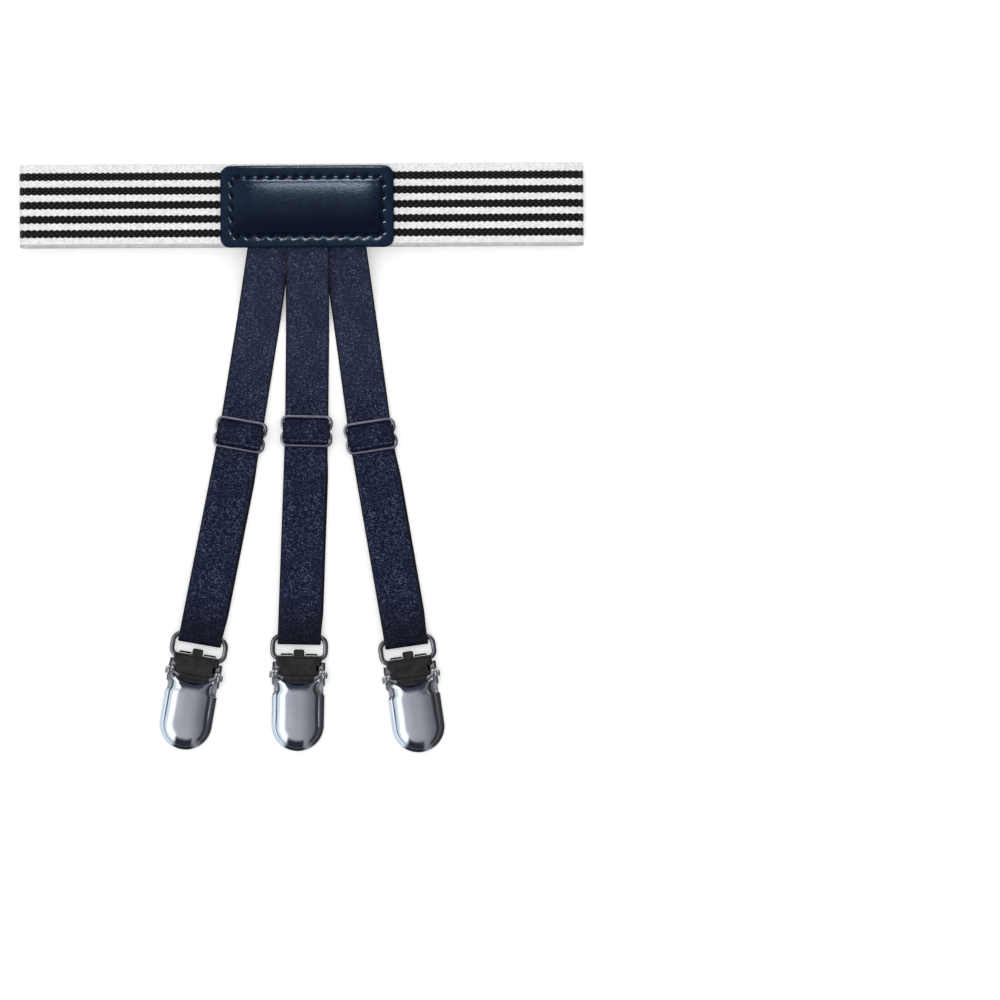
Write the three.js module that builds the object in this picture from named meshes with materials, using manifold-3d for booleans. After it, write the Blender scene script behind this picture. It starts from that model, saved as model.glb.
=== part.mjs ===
// Shirt stay: an elastic thigh band with a leather patch, from which three webbing
// straps run through wire sliders to rings, each ring carrying a mitten-shaped clip.
// It lies flat, front up: X runs along the band, -Y towards the clips, +Z up.
// The origin is the middle of the band's underside. All lengths are millimetres.
import * as THREE from 'three';
import { mergeVertices } from 'three/addons/utils/BufferGeometryUtils.js';
import Module from 'manifold-3d';

// Running gap kept between touching pieces
const GAP = 0.3;

// Thigh band: a closed elastic loop, pressed flat
const BAND_LENGTH = 203;
const BAND_WIDTH = 30;
const BAND_WALL = 1.5;
const BAND_OPEN_HEIGHT = 5;

// Leather patch sewn over the strap ends
const PATCH_WIDTH = 62.4;
const PATCH_HEIGHT = 29.4;
const PATCH_CENTRE_X = 2.1;
const PATCH_CENTRE_Y = -0.6;
const PATCH_CORNER = 3.6;
const LEATHER = 1.3;
const PATCH_PADDING = 1.2;
const STITCH_MARGIN = 4;

// Elastic webbing straps
const STRAP_WIDTH = 15.7;
const STRAP_THICKNESS = 1;
const STRAP_TUCK = 11;
const STRAP_LIFT = 0.6;
const DRAPE_RADIUS = 14;
const DRAPE_RUN = 28;
const DRAPE_START = 1;
const UPPER_DRAPE_DELAY = 5;
const UPPER_LENGTH = 68;
const LOWER_LENGTH = 73.9;
const RETURN_DRIFT = 0.5;
const HOOK_SWEEP = 200;
const HOOK_TAPER = 5;

// Sliders: bent wire, two lobes either side of a middle bar
const SLIDER_WIRE = 1.2;
const SLIDER_HEIGHT = 11.6;
const SLIDER_PLAY = 0.35;
const SLIDER_CORNER = 2.1;
const SLIDER_PINCH = 1.1;
const SLIDER_PINCH_SPREAD = 1.1;

// Rings: bent wire, rounded oblong
const RING_WIRE = 1.7;
const RING_PLAY = 0.85;
const RING_SLACK = 0.9;
const RING_HEIGHT = 9.8;
const RING_BOTTOM_CORNER = 2.6;

// Clip plates, measured from the axis of the ring's lower bar
const PLATE = 0.8;
const BARREL_SWEEP = 262;
const BARREL_CLEARANCE = 0.2;
const BACK_PLATE_START = 1.3;
const JAW_INSET = 0.5;
const EAR_SPACING = 19;
const EAR_FOOT = 3.7;
const EAR_TOP_RADIUS = 2.4;
const SPRING_PLATE_REACH = 1;
const SPRING_PLATE_STEP = 2.6;
const SPRING_PLATE_BEND = 9;
const SPRING_PLATE_END = 23;
const SPRING_NOSE_INSET = 1.8;
const TONGUE_WIDTH = 3.9;
const TONGUE_REACH = 3.4;

// Domed lever and its two pivot pins
const PIN_DISTANCE = 5.8;
const PIN_HEIGHT = 5;
const PIN_DIAMETER = 1.4;
const PIN_HEAD_DIAMETER = 2.4;
const PIN_HEAD_LENGTH = 0.7;
const CHEEK_RADIUS = 2.3;
const LEVER_TIP = 33.3;
const LEVER_WIDTH = 18.8;
const LEVER_CROWN = 8;
const LEVER_WALL = 0.8;
const LEVER_CROWN_PLACE = 17;
const SHOULDER_RUN = 2.4;
const NECK_PINCH = 0.8;
const NECK_RUN = 1.6;
const SMILE_MIDDLE = 9.6;
const SMILE_DEPTH = 3.2;

// One row for each strap. seam is where it leaves the patch, as a share of the patch's
// width from its middle, and upper its length down to the slider, as a share of
// UPPER_LENGTH. The leans are degrees from -Y: above the slider, below it, and of the
// ring and clip. layer counts the straps that it lies on at the patch.
const STAYS = [
  { name: 'left', seam: -0.218, upper: 1, upperLean: -9.3, lowerLean: -11.4, clipLean: -10.1, layer: 0 },
  { name: 'centre', seam: 0.003, upper: 0.97, upperLean: -0.8, lowerLean: -2.3, clipLean: -1.4, layer: 1 },
  { name: 'right', seam: 0.215, upper: 1.007, upperLean: 7.5, lowerLean: 9.5, clipLean: 8, layer: 0 },
];

// Heights that stack up from the surface the part lies on
const BAND_TOP = 2 * BAND_WALL + BAND_OPEN_HEIGHT;
const SEAM_Y = PATCH_CENTRE_Y - PATCH_HEIGHT / 2;
const STRAP_FLOOR = STRAP_THICKNESS / 2;
const LAYER_STEP = STRAP_THICKNESS + STRAP_LIFT;
const SLIDER_Z = 2 * STRAP_THICKNESS + 2 * GAP + SLIDER_WIRE / 2;
const SLIDER_BAR = (SLIDER_HEIGHT - SLIDER_WIRE) / 2;
const RING_Z = STRAP_THICKNESS + GAP + RING_WIRE / 2;
const RING_DROP = RING_HEIGHT - RING_WIRE;

// Widths that follow the strap: it slides through the slider and hangs the ring
const SLIDER_WIDTH = STRAP_WIDTH + 2 * SLIDER_PLAY + 2 * SLIDER_WIRE;
const HOOK_WIDTH = SLIDER_WIDTH - 2 * SLIDER_WIRE - 2 * SLIDER_PINCH - 2 * GAP;
const RING_WIDTH = STRAP_WIDTH + 2 * RING_PLAY + 2 * RING_WIRE;
const RING_TOP_CORNER = RING_PLAY + RING_WIRE / 2 + RING_SLACK + 0.5;
const BARREL_WIDTH = RING_WIDTH - RING_WIRE - 2 * RING_BOTTOM_CORNER - 2 * GAP;
const SPRING_PLATE_WIDTH = RING_WIDTH - 2 * RING_WIRE - 3 * GAP;

// Clip places that follow the pins and the plates
const EAR_FRONT = PIN_DISTANCE + EAR_FOOT;
const EAR_SWEEP = PIN_DISTANCE + Math.hypot(EAR_FOOT, PIN_HEIGHT - PLATE) + GAP;
const SHOULDER_START = EAR_SWEEP - SHOULDER_RUN / 3;
const CHEEK_FRONT = PIN_DISTANCE + CHEEK_RADIUS;
const JAW_WIDTH = LEVER_WIDTH - 2 * JAW_INSET;
const RIM_Z = PLATE + GAP;
const CHEEK_OUTER = EAR_SPACING / 2 - PLATE - GAP;
const CHEEK_INNER = CHEEK_OUTER - LEVER_WALL;
const SPRING_PLATE_NECK = 2 * (CHEEK_INNER - GAP);
const SPRING_PLATE_Z = RING_Z + RING_WIRE / 2 + BARREL_CLEARANCE + PLATE + GAP + PLATE / 2;

const radians = THREE.MathUtils.degToRad;
const smooth = (value) => THREE.MathUtils.smoothstep(value, 0, 1);

const wasm = await Module();
wasm.setup();

const steel = { metalness: 1, roughness: 0.25 };
const finishes = {
  band: { color: 0xe8e8ea, roughness: 0.85 },
  leather: { color: 0x1d2a44, roughness: 0.45 },
  strap: { color: 0x1b2b63, roughness: 0.6 },
  slider: { color: 0xb9bcc4, ...steel },
  ring: { color: 0x6d7078, ...steel },
  plate: { color: 0x8d9098, ...steel },
  spring: { color: 0x2b2c31, metalness: 0.9, roughness: 0.4 },
  lever: { color: 0xc4c6ce, metalness: 1, roughness: 0.12 },
};

function named(name, geometry, finish) {
  const mesh = new THREE.Mesh(geometry, new THREE.MeshStandardMaterial(finishes[finish]));
  mesh.name = name;
  return mesh;
}

// Six times the signed volume of a closed indexed mesh
function signedVolume(position, index) {
  const a = new THREE.Vector3();
  const b = new THREE.Vector3();
  const c = new THREE.Vector3();
  let total = 0;
  for (let i = 0; i < index.length; i += 3) {
    a.fromBufferAttribute(position, index[i]);
    b.fromBufferAttribute(position, index[i + 1]);
    c.fromBufferAttribute(position, index[i + 2]);
    total += a.dot(b.cross(c));
  }
  return total;
}

// Welds a geometry's corners, drops collapsed triangles and turns its faces outwards
function welded(geometry) {
  const bare = geometry.clone();
  bare.deleteAttribute('normal');
  bare.deleteAttribute('uv');
  const merged = mergeVertices(bare, 1e-4);
  const kept = [];
  for (let i = 0; i < merged.index.count; i += 3) {
    const corners = [merged.index.getX(i), merged.index.getX(i + 1), merged.index.getX(i + 2)];
    if (new Set(corners).size === 3) {
      kept.push(...corners);
    }
  }
  if (signedVolume(merged.attributes.position, kept) < 0) {
    kept.reverse();
  }
  merged.setIndex(kept);
  return merged;
}

function solid(geometry) {
  const body = welded(geometry);
  const vertProperties = new Float32Array(body.attributes.position.array);
  const triVerts = new Uint32Array(body.index.array);
  return new wasm.Manifold(new wasm.Mesh({ numProp: 3, vertProperties, triVerts }));
}

function geometryOf(body) {
  const mesh = body.getMesh();
  const geometry = new THREE.BufferGeometry();
  geometry.setAttribute('position', new THREE.BufferAttribute(mesh.vertProperties, 3));
  geometry.setIndex(new THREE.BufferAttribute(mesh.triVerts, 1));
  return geometry;
}

// Joins geometries into one body, then takes the cuts away from it
function joined(geometries, cuts = []) {
  let body = solid(geometries[0]);
  for (const geometry of geometries.slice(1)) {
    body = body.add(solid(geometry));
  }
  for (const cut of cuts) {
    body = body.subtract(solid(cut));
  }
  return geometryOf(body);
}

// Skins a row of sections, each the same number of points round its edge. An open row
// is capped by pairing each section's first half with its second.
function loft(sections, closed = false) {
  const size = sections[0].length;
  const index = [];
  const quad = (a, b, c, d) => index.push(a, b, c, a, c, d);
  const last = closed ? sections.length : sections.length - 1;
  for (let j = 0; j < last; j += 1) {
    const here = j * size;
    const next = ((j + 1) % sections.length) * size;
    for (let i = 0; i < size; i += 1) {
      const k = (i + 1) % size;
      quad(here + i, next + i, next + k, here + k);
    }
  }
  if (!closed) {
    const end = (sections.length - 1) * size;
    for (let i = 0; i < size / 2 - 1; i += 1) {
      quad(i, i + 1, size - 2 - i, size - 1 - i);
      quad(end + size - 1 - i, end + size - 2 - i, end + i + 1, end + i);
    }
  }
  const geometry = new THREE.BufferGeometry();
  geometry.setFromPoints(sections.flat());
  geometry.setIndex(index);
  return welded(geometry);
}

// Follows a strip pulled taut round a row of bars in its side view. way is 1 where the
// bar lies on the left of the travel and -1 on the right; radius 0 is a plain point.
// A sweep on the last bar wraps the strip's end round it by that many degrees.
function tautPath(bars) {
  const headings = [];
  for (let i = 0; i < bars.length - 1; i += 1) {
    const from = bars[i];
    const to = bars[i + 1];
    const reach = Math.hypot(to.s - from.s, to.z - from.z);
    const offset = to.way * to.radius - from.way * from.radius;
    headings.push(Math.atan2(to.z - from.z, to.s - from.s) - Math.asin(offset / reach));
  }
  const points = [];
  bars.forEach((bar, i) => {
    const arriving = headings[Math.max(i - 1, 0)];
    const leaving = headings[Math.min(i, headings.length - 1)];
    let turn = bar.sweep ? bar.way * radians(bar.sweep) : leaving - arriving;
    if (bar.radius && turn * bar.way < 0) {
      turn += bar.way * 2 * Math.PI;
    }
    const steps = bar.radius ? Math.max(1, Math.ceil(Math.abs(turn) / radians(20))) : 0;
    for (let k = 0; k <= steps; k += 1) {
      const heading = arriving + (steps ? (turn * k) / steps : 0);
      const s = bar.s + bar.way * bar.radius * Math.sin(heading);
      const z = bar.z - bar.way * bar.radius * Math.cos(heading);
      points.push({ s, z, heading });
    }
  });
  return points;
}

// A strip of even thickness along a side-view path. place(s, across, point) gives the
// plan position, and halfWidth(point) the strip's half width there.
function strip(path, thickness, halfWidth, place) {
  const sections = path.map((point, index) => {
    const before = path[Math.max(index - 1, 0)];
    const after = path[Math.min(index + 1, path.length - 1)];
    const heading = Math.atan2(after.z - before.z, after.s - before.s);
    const half = halfWidth(point);
    const corner = (up, side) => {
      const s = point.s - Math.sin(heading) * up * thickness / 2;
      const z = point.z + Math.cos(heading) * up * thickness / 2;
      const plan = place(s, side * half, point);
      return new THREE.Vector3(plan.x, plan.y, z);
    };
    return [corner(-1, -1), corner(-1, 1), corner(1, 1), corner(1, -1)];
  });
  return loft(sections);
}

// A round wire bent along a closed flat outline, at height z
function wireLoop(outline, diameter, sides, z) {
  const sections = outline.map((point, index) => {
    const before = outline[(index + outline.length - 1) % outline.length];
    const after = outline[(index + 1) % outline.length];
    const normal = new THREE.Vector2(after.y - before.y, before.x - after.x).normalize();
    const section = [];
    for (let k = 0; k < sides; k += 1) {
      const turn = ((k + 0.5) / sides) * 2 * Math.PI;
      const out = (Math.cos(turn) * diameter) / 2;
      const up = (Math.sin(turn) * diameter) / 2;
      section.push(new THREE.Vector3(point.x + normal.x * out, point.y + normal.y * out, z + up));
    }
    return section;
  });
  return loft(sections, true);
}

function straightWire(length, diameter, sides) {
  const wire = new THREE.CylinderGeometry(diameter / 2, diameter / 2, length, sides);
  wire.rotateY(Math.PI / sides);
  wire.rotateZ(Math.PI / 2);
  return wire;
}

function direction(lean) {
  return new THREE.Vector2(Math.sin(radians(lean)), -Math.cos(radians(lean)));
}

// Where a stay's seam, slider and ring lie in plan
function stayPoints(stay) {
  const seam = new THREE.Vector2(PATCH_CENTRE_X + stay.seam * PATCH_WIDTH, SEAM_Y);
  const slider = seam.clone().addScaledVector(direction(stay.upperLean), stay.upper * UPPER_LENGTH);
  const ring = slider.clone().addScaledVector(direction(stay.lowerLean), LOWER_LENGTH);
  return { seam, slider, ring };
}

function bandGeometry() {
  const outer = new THREE.Shape();
  const outerRadius = BAND_TOP / 2;
  const outerReach = BAND_LENGTH / 2 - outerRadius;
  outer.absarc(outerReach, outerRadius, outerRadius, -Math.PI / 2, Math.PI / 2, false);
  outer.absarc(-outerReach, outerRadius, outerRadius, Math.PI / 2, 1.5 * Math.PI, false);
  const inner = new THREE.Path();
  const innerRadius = BAND_OPEN_HEIGHT / 2;
  inner.absarc(outerReach, outerRadius, innerRadius, -Math.PI / 2, Math.PI / 2, false);
  inner.absarc(-outerReach, outerRadius, innerRadius, Math.PI / 2, 1.5 * Math.PI, false);
  outer.holes.push(inner);
  const options = { depth: BAND_WIDTH, bevelEnabled: false, curveSegments: 12 };
  const geometry = new THREE.ExtrudeGeometry(outer, options);
  geometry.rotateX(Math.PI / 2);
  geometry.translate(0, BAND_WIDTH / 2, 0);
  return welded(geometry);
}

// Underside of the patch: it drapes over the strap ends and meets the band at its sides
function patchUnderside(share) {
  const rise = LAYER_STEP + STRAP_THICKNESS + GAP;
  return BAND_TOP + GAP + rise * (1 - share ** 4);
}

function patchGeometry() {
  const halfWidth = PATCH_WIDTH / 2;
  const halfHeight = PATCH_HEIGHT / 2;
  const columns = 18;
  const cornerRows = 3;
  const middleRows = 7;
  const rows = [];
  for (let k = 0; k <= cornerRows; k += 1) {
    const turn = (k / cornerRows) * (Math.PI / 2);
    const y = halfHeight - PATCH_CORNER * (1 - Math.sin(turn));
    rows.push({ y, inset: PATCH_CORNER * (1 - Math.cos(turn)) });
  }
  rows.reverse();
  const straight = halfHeight - PATCH_CORNER;
  for (let k = 1; k < middleRows; k += 1) {
    rows.push({ y: straight * (1 - (2 * k) / middleRows), inset: 0 });
  }
  const turned = rows.slice(0, cornerRows + 1).map((row) => ({ y: -row.y, inset: row.inset }));
  rows.push(...turned.reverse());
  const sections = rows.map((row) => {
    const top = [];
    const bottom = [];
    for (let i = 0; i <= columns; i += 1) {
      const share = (2 * i) / columns - 1;
      const x = share * (halfWidth - row.inset);
      const under = patchUnderside(x / halfWidth);
      const acrossX = Math.max(0, 1 - Math.abs(x / (halfWidth - STITCH_MARGIN)) ** 6);
      const acrossY = Math.max(0, 1 - Math.abs(row.y / (halfHeight - STITCH_MARGIN)) ** 2.5);
      const place = [PATCH_CENTRE_X + x, PATCH_CENTRE_Y + row.y];
      top.push(new THREE.Vector3(...place, under + LEATHER + PATCH_PADDING * acrossX * acrossY));
      bottom.push(new THREE.Vector3(...place, under));
    }
    return [...top, ...bottom.reverse()];
  });
  return loft(sections);
}

// Side-view path of a strap's middle: from under the patch down to the surface, through
// the slider, round the ring's top bar and back to hook round the slider's middle bar.
// The fold's stiffness holds it RING_SLACK past the ring's bar.
function strapPath(stay) {
  const start = BAND_TOP + GAP + STRAP_FLOOR + stay.layer * LAYER_STEP;
  const drape = DRAPE_START + stay.layer * UPPER_DRAPE_DELAY;
  const slider = stay.upper * UPPER_LENGTH;
  const ring = slider + LOWER_LENGTH;
  const underBar = SLIDER_WIRE / 2 + GAP + STRAP_FLOOR;
  const overHook = underBar + STRAP_THICKNESS + GAP;
  const roundRing = RING_WIRE / 2 + GAP + STRAP_FLOOR;
  const path = tautPath([
    { s: -STRAP_TUCK, z: start, radius: 0, way: 1 },
    { s: drape, z: start - DRAPE_RADIUS, radius: DRAPE_RADIUS, way: -1 },
    { s: drape + DRAPE_RUN, z: STRAP_FLOOR + DRAPE_RADIUS, radius: DRAPE_RADIUS, way: 1 },
    { s: slider - SLIDER_BAR, z: SLIDER_Z, radius: underBar, way: 1 },
    { s: slider, z: SLIDER_Z, radius: overHook, way: -1 },
    { s: slider + SLIDER_BAR, z: SLIDER_Z, radius: underBar, way: 1 },
    { s: ring + RING_SLACK, z: RING_Z, radius: roundRing, way: -1 },
    { s: slider + SLIDER_BAR, z: STRAP_FLOOR + underBar, radius: underBar, way: -1 },
    { s: slider, z: SLIDER_Z, radius: underBar, way: -1, sweep: HOOK_SWEEP },
  ]);
  const furthest = path.reduce((best, point, i) => (point.s > path[best].s ? i : best), 0);
  return path.map((point, i) => ({ ...point, back: i > furthest ? 1 : 0 }));
}

function strapGeometry(stay) {
  const { seam, slider, ring } = stayPoints(stay);
  const upperLength = stay.upper * UPPER_LENGTH;
  const ringDistance = upperLength + LOWER_LENGTH;
  const place = (s, across, point) => {
    const past = s - upperLength;
    const atSlider = smooth(past / SLIDER_HEIGHT + 0.5);
    const atRing = smooth((s - ringDistance) / RING_HEIGHT + 1);
    const sliderTurn = (stay.lowerLean - stay.upperLean) * atSlider;
    const ringTurn = (stay.clipLean - stay.lowerLean) * atRing;
    const lean = stay.upperLean + sliderTurn + ringTurn;
    const base = past < 0 ? seam.clone() : slider.clone();
    const run = past < 0 ? direction(stay.upperLean) : direction(stay.lowerLean);
    base.addScaledVector(run, past < 0 ? s : past);
    const drifting = smooth((ringDistance - s) / RING_HEIGHT) * smooth(past / SLIDER_HEIGHT - 0.5);
    const drift = point.back * RETURN_DRIFT * drifting;
    const side = new THREE.Vector2(Math.cos(radians(lean)), Math.sin(radians(lean)));
    return base.addScaledVector(side, across + drift);
  };
  const halfWidth = (point) => {
    const hook = point.back * (1 - smooth((point.s - upperLength) / HOOK_TAPER));
    return (STRAP_WIDTH + (HOOK_WIDTH - STRAP_WIDTH) * hook) / 2;
  };
  return strip(strapPath(stay), STRAP_THICKNESS, halfWidth, place);
}

// Wire outline of a slider: straight bars above and below, round lobes, pinched middle
function sliderOutline() {
  const reach = (SLIDER_WIDTH - SLIDER_WIRE) / 2;
  const corner = SLIDER_CORNER;
  const lobe = SLIDER_BAR - corner;
  const side = [];
  for (let k = 0; k <= 4; k += 1) {
    const turn = (k / 4) * (Math.PI / 2);
    side.push(new THREE.Vector2(reach - corner * (1 - Math.sin(turn)), lobe + corner * Math.cos(turn)));
  }
  for (let k = 1; k < 10; k += 1) {
    const y = lobe * (1 - k / 5);
    const pinch = SLIDER_PINCH * Math.exp(-((y / SLIDER_PINCH_SPREAD) ** 2));
    side.push(new THREE.Vector2(reach - pinch, y));
  }
  const lower = side.slice(0, 5).map((point) => new THREE.Vector2(point.x, -point.y));
  side.push(...lower.reverse());
  const opposite = side.map((point) => new THREE.Vector2(-point.x, -point.y));
  return [...side, ...opposite];
}

function sliderGeometry() {
  const sides = 6;
  const loop = wireLoop(sliderOutline(), SLIDER_WIRE, sides, 0);
  const bar = straightWire(SLIDER_WIDTH - SLIDER_WIRE - 2 * SLIDER_PINCH, SLIDER_WIRE, sides);
  return joined([loop, bar]);
}

// Wire outline of a ring, hanging from its top bar at y = 0
function ringOutline() {
  const reach = (RING_WIDTH - RING_WIRE) / 2;
  const top = RING_TOP_CORNER;
  const bottom = RING_BOTTOM_CORNER;
  const path = new THREE.Path();
  path.absarc(reach - top, -top, top, Math.PI / 2, 0, true);
  path.absarc(reach - bottom, bottom - RING_DROP, bottom, 0, -Math.PI / 2, true);
  path.absarc(bottom - reach, bottom - RING_DROP, bottom, -Math.PI / 2, -Math.PI, true);
  path.absarc(top - reach, -top, top, Math.PI, Math.PI / 2, true);
  const points = path.getPoints(3);
  return points.filter((point, index) => index === 0 || point.distanceTo(points[index - 1]) > 0.01);
}

function ringGeometry() {
  return wireLoop(ringOutline(), RING_WIRE, 8, 0);
}

// A flat plate from a plan outline, lying at z = 0
function flatPlate(shape, segments) {
  return new THREE.ExtrudeGeometry(shape, { depth: PLATE, bevelEnabled: false, curveSegments: segments });
}

// A standing plate from a side outline in (distance from the ring bar, height), between
// two positions across the clip
function standingPlate(shape, inner, outer) {
  const depth = Math.abs(outer - inner);
  const geometry = new THREE.ExtrudeGeometry(shape, { depth, bevelEnabled: false, curveSegments: 8 });
  geometry.rotateX(Math.PI / 2);
  geometry.rotateZ(-Math.PI / 2);
  geometry.translate(Math.max(inner, outer), 0, 0);
  return geometry;
}

const clipPlace = (s, across) => ({ x: across, y: -s });

function jawShape() {
  const half = JAW_WIDTH / 2;
  const wide = EAR_SPACING / 2;
  const tipCentre = LEVER_TIP - LEVER_WIDTH / 2;
  const shape = new THREE.Shape();
  shape.moveTo(-wide, -BACK_PLATE_START);
  shape.lineTo(-wide, -EAR_FRONT);
  shape.lineTo(-half, -EAR_FRONT - (wide - half));
  shape.absarc(0, -tipCentre, half, Math.PI, 2 * Math.PI, false);
  shape.lineTo(half, -EAR_FRONT - (wide - half));
  shape.lineTo(wide, -EAR_FRONT);
  shape.lineTo(wide, -BACK_PLATE_START);
  return shape;
}

function earShape() {
  const shape = new THREE.Shape();
  shape.moveTo(BACK_PLATE_START, 0);
  shape.lineTo(EAR_FRONT, 0);
  shape.lineTo(EAR_FRONT, PLATE);
  shape.absarc(PIN_DISTANCE, PIN_HEIGHT, EAR_TOP_RADIUS, radians(-20), radians(200), false);
  shape.lineTo(BACK_PLATE_START, PLATE);
  return shape;
}

function pinHole(length) {
  const hole = straightWire(length, PIN_DIAMETER + 2 * GAP, 10);
  hole.translate(0, -PIN_DISTANCE, PIN_HEIGHT);
  return hole;
}

// Barrels rolled round the ring's lower bar, either side of the tongue
function barrelGeometry(side) {
  const roll = RING_WIRE / 2 + BARREL_CLEARANCE + PLATE / 2;
  const path = tautPath([
    { s: BACK_PLATE_START + 2.4, z: PLATE / 2, radius: 0, way: 1 },
    { s: 0, z: RING_Z, radius: roll, way: -1, sweep: BARREL_SWEEP },
  ]);
  const inner = TONGUE_WIDTH / 2 + GAP;
  const width = BARREL_WIDTH / 2 - inner;
  const middle = side * (inner + width / 2);
  return strip(path, PLATE, () => width / 2, (s, across) => clipPlace(s, across + middle));
}

function backPlateGeometry() {
  const outer = EAR_SPACING / 2;
  const inner = outer - PLATE;
  const parts = [flatPlate(jawShape(), 12)];
  for (const side of [-1, 1]) {
    parts.push(standingPlate(earShape(), side * inner, side * outer));
    parts.push(barrelGeometry(side));
  }
  return joined(parts, [pinHole(2 * EAR_SPACING)]);
}

// Dark plate over the barrels: a broad rear edge, a narrower neck between the lever's
// cheeks, a nose that runs down to the jaw, and a tongue reaching into the ring
function springPlateGeometry() {
  const nose = RIM_Z + PLATE / 2 + GAP;
  const level = [
    { s: -SPRING_PLATE_REACH, z: SPRING_PLATE_Z },
    { s: SPRING_PLATE_BEND, z: SPRING_PLATE_Z },
  ];
  const rear = [level[0], { s: SPRING_PLATE_STEP, z: SPRING_PLATE_Z }];
  const neck = [level[0], { s: SMILE_MIDDLE - SMILE_DEPTH - GAP, z: SPRING_PLATE_Z }];
  const run = [level[0], level[1], { s: SPRING_PLATE_END, z: nose }];
  const tongue = [{ s: -TONGUE_REACH, z: SPRING_PLATE_Z }, { s: 0, z: SPRING_PLATE_Z }];
  return joined([
    strip(run, PLATE, () => SPRING_PLATE_NECK / 2 - SPRING_NOSE_INSET, clipPlace),
    strip(neck, PLATE, () => SPRING_PLATE_NECK / 2, clipPlace),
    strip(rear, PLATE, () => SPRING_PLATE_WIDTH / 2, clipPlace),
    strip(tongue, PLATE, () => TONGUE_WIDTH / 2, clipPlace),
  ]);
}

// Half width and height of the lever's dome at a distance from the ring bar, for a
// surface that lies inset millimetres inside the outer one
function domeSize(distance, inset) {
  const tipRadius = LEVER_WIDTH / 2 - inset;
  const past = Math.max(0, distance - (LEVER_TIP - LEVER_WIDTH / 2)) / tipRadius;
  const neck = CHEEK_OUTER - NECK_PINCH * smooth((distance - CHEEK_FRONT) / NECK_RUN);
  const shoulder = smooth((distance - SHOULDER_START) / SHOULDER_RUN);
  const wide = neck + (LEVER_WIDTH / 2 - neck) * shoulder - inset;
  const run = (distance - LEVER_CROWN_PLACE) / (LEVER_TIP - inset - LEVER_CROWN_PLACE);
  const fall = Math.max(0, run) ** 2.3;
  const dip = 0.12 * Math.max(0, -run) ** 2;
  return {
    half: wide * Math.sqrt(Math.max(0, 1 - past ** 2)),
    height: (LEVER_CROWN - RIM_Z - inset) * (Math.max(0, 1 - fall) ** (1 / 2.3) - dip),
  };
}

// One arch of the lever's dome, from its left rim over the crown to its right rim
function domeArch(along, inset) {
  const arcSteps = 12;
  const tip = LEVER_TIP - inset;
  const arch = [];
  for (let i = 0; i <= arcSteps; i += 1) {
    const turn = Math.PI * (1 - i / arcSteps);
    const across = Math.cos(turn);
    const rear = SMILE_MIDDLE - SMILE_DEPTH * Math.min(1, Math.abs(across) ** 2);
    const distance = rear + (tip - rear) * Math.sin((along * Math.PI) / 2);
    const { half, height } = domeSize(distance, inset);
    const x = half * Math.sign(across) * Math.abs(across) ** 0.8;
    const z = RIM_Z + height * Math.sin(turn) ** 0.7;
    arch.push(new THREE.Vector3(x, -distance, z));
  }
  return arch;
}

function cheekShape() {
  const shape = new THREE.Shape();
  shape.moveTo(CHEEK_FRONT, RIM_Z);
  shape.lineTo(CHEEK_FRONT, PIN_HEIGHT);
  shape.absarc(PIN_DISTANCE, PIN_HEIGHT, CHEEK_RADIUS, Math.PI / 2, 1.5 * Math.PI, false);
  shape.lineTo(SMILE_MIDDLE - SMILE_DEPTH, RIM_Z);
  return shape;
}

function leverGeometry() {
  const stations = 16;
  const sections = [];
  for (let j = 0; j <= stations; j += 1) {
    const outer = domeArch(j / stations, 0);
    const inner = domeArch(j / stations, LEVER_WALL);
    sections.push([...outer, ...inner.reverse()]);
  }
  const parts = [loft(sections)];
  for (const side of [-1, 1]) {
    parts.push(standingPlate(cheekShape(), side * CHEEK_INNER, side * CHEEK_OUTER));
  }
  return joined(parts, [pinHole(2 * EAR_SPACING)]);
}

// A headed pin through one ear and one cheek; its head lies outside the ear
function pivotPinGeometry(side) {
  const shank = PIN_DIAMETER / 2;
  const head = PIN_HEAD_DIAMETER / 2;
  const innerEnd = CHEEK_INNER;
  const headStart = EAR_SPACING / 2 + GAP;
  const headEnd = headStart + PIN_HEAD_LENGTH;
  const profile = [
    new THREE.Vector2(0, innerEnd),
    new THREE.Vector2(shank, innerEnd),
    new THREE.Vector2(shank, headStart),
    new THREE.Vector2(head, headStart),
    new THREE.Vector2(head, headEnd - 0.2),
    new THREE.Vector2(head - 0.3, headEnd),
    new THREE.Vector2(0, headEnd),
  ];
  const geometry = new THREE.LatheGeometry(profile, 10);
  geometry.rotateZ(-side * Math.PI / 2);
  return welded(geometry);
}

function clipGroup(stay) {
  const group = new THREE.Group();
  group.add(named(`back_plate_${stay.name}`, backPlateGeometry(), 'plate'));
  group.add(named(`spring_plate_${stay.name}`, springPlateGeometry(), 'spring'));
  group.add(named(`lever_${stay.name}`, leverGeometry(), 'lever'));
  for (const [end, side] of [['a', -1], ['b', 1]]) {
    const pin = named(`pivot_pin_${stay.name}_${end}`, pivotPinGeometry(side), 'slider');
    pin.position.set(0, -PIN_DISTANCE, PIN_HEIGHT);
    group.add(pin);
  }
  group.position.y = -RING_DROP;
  return group;
}

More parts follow.
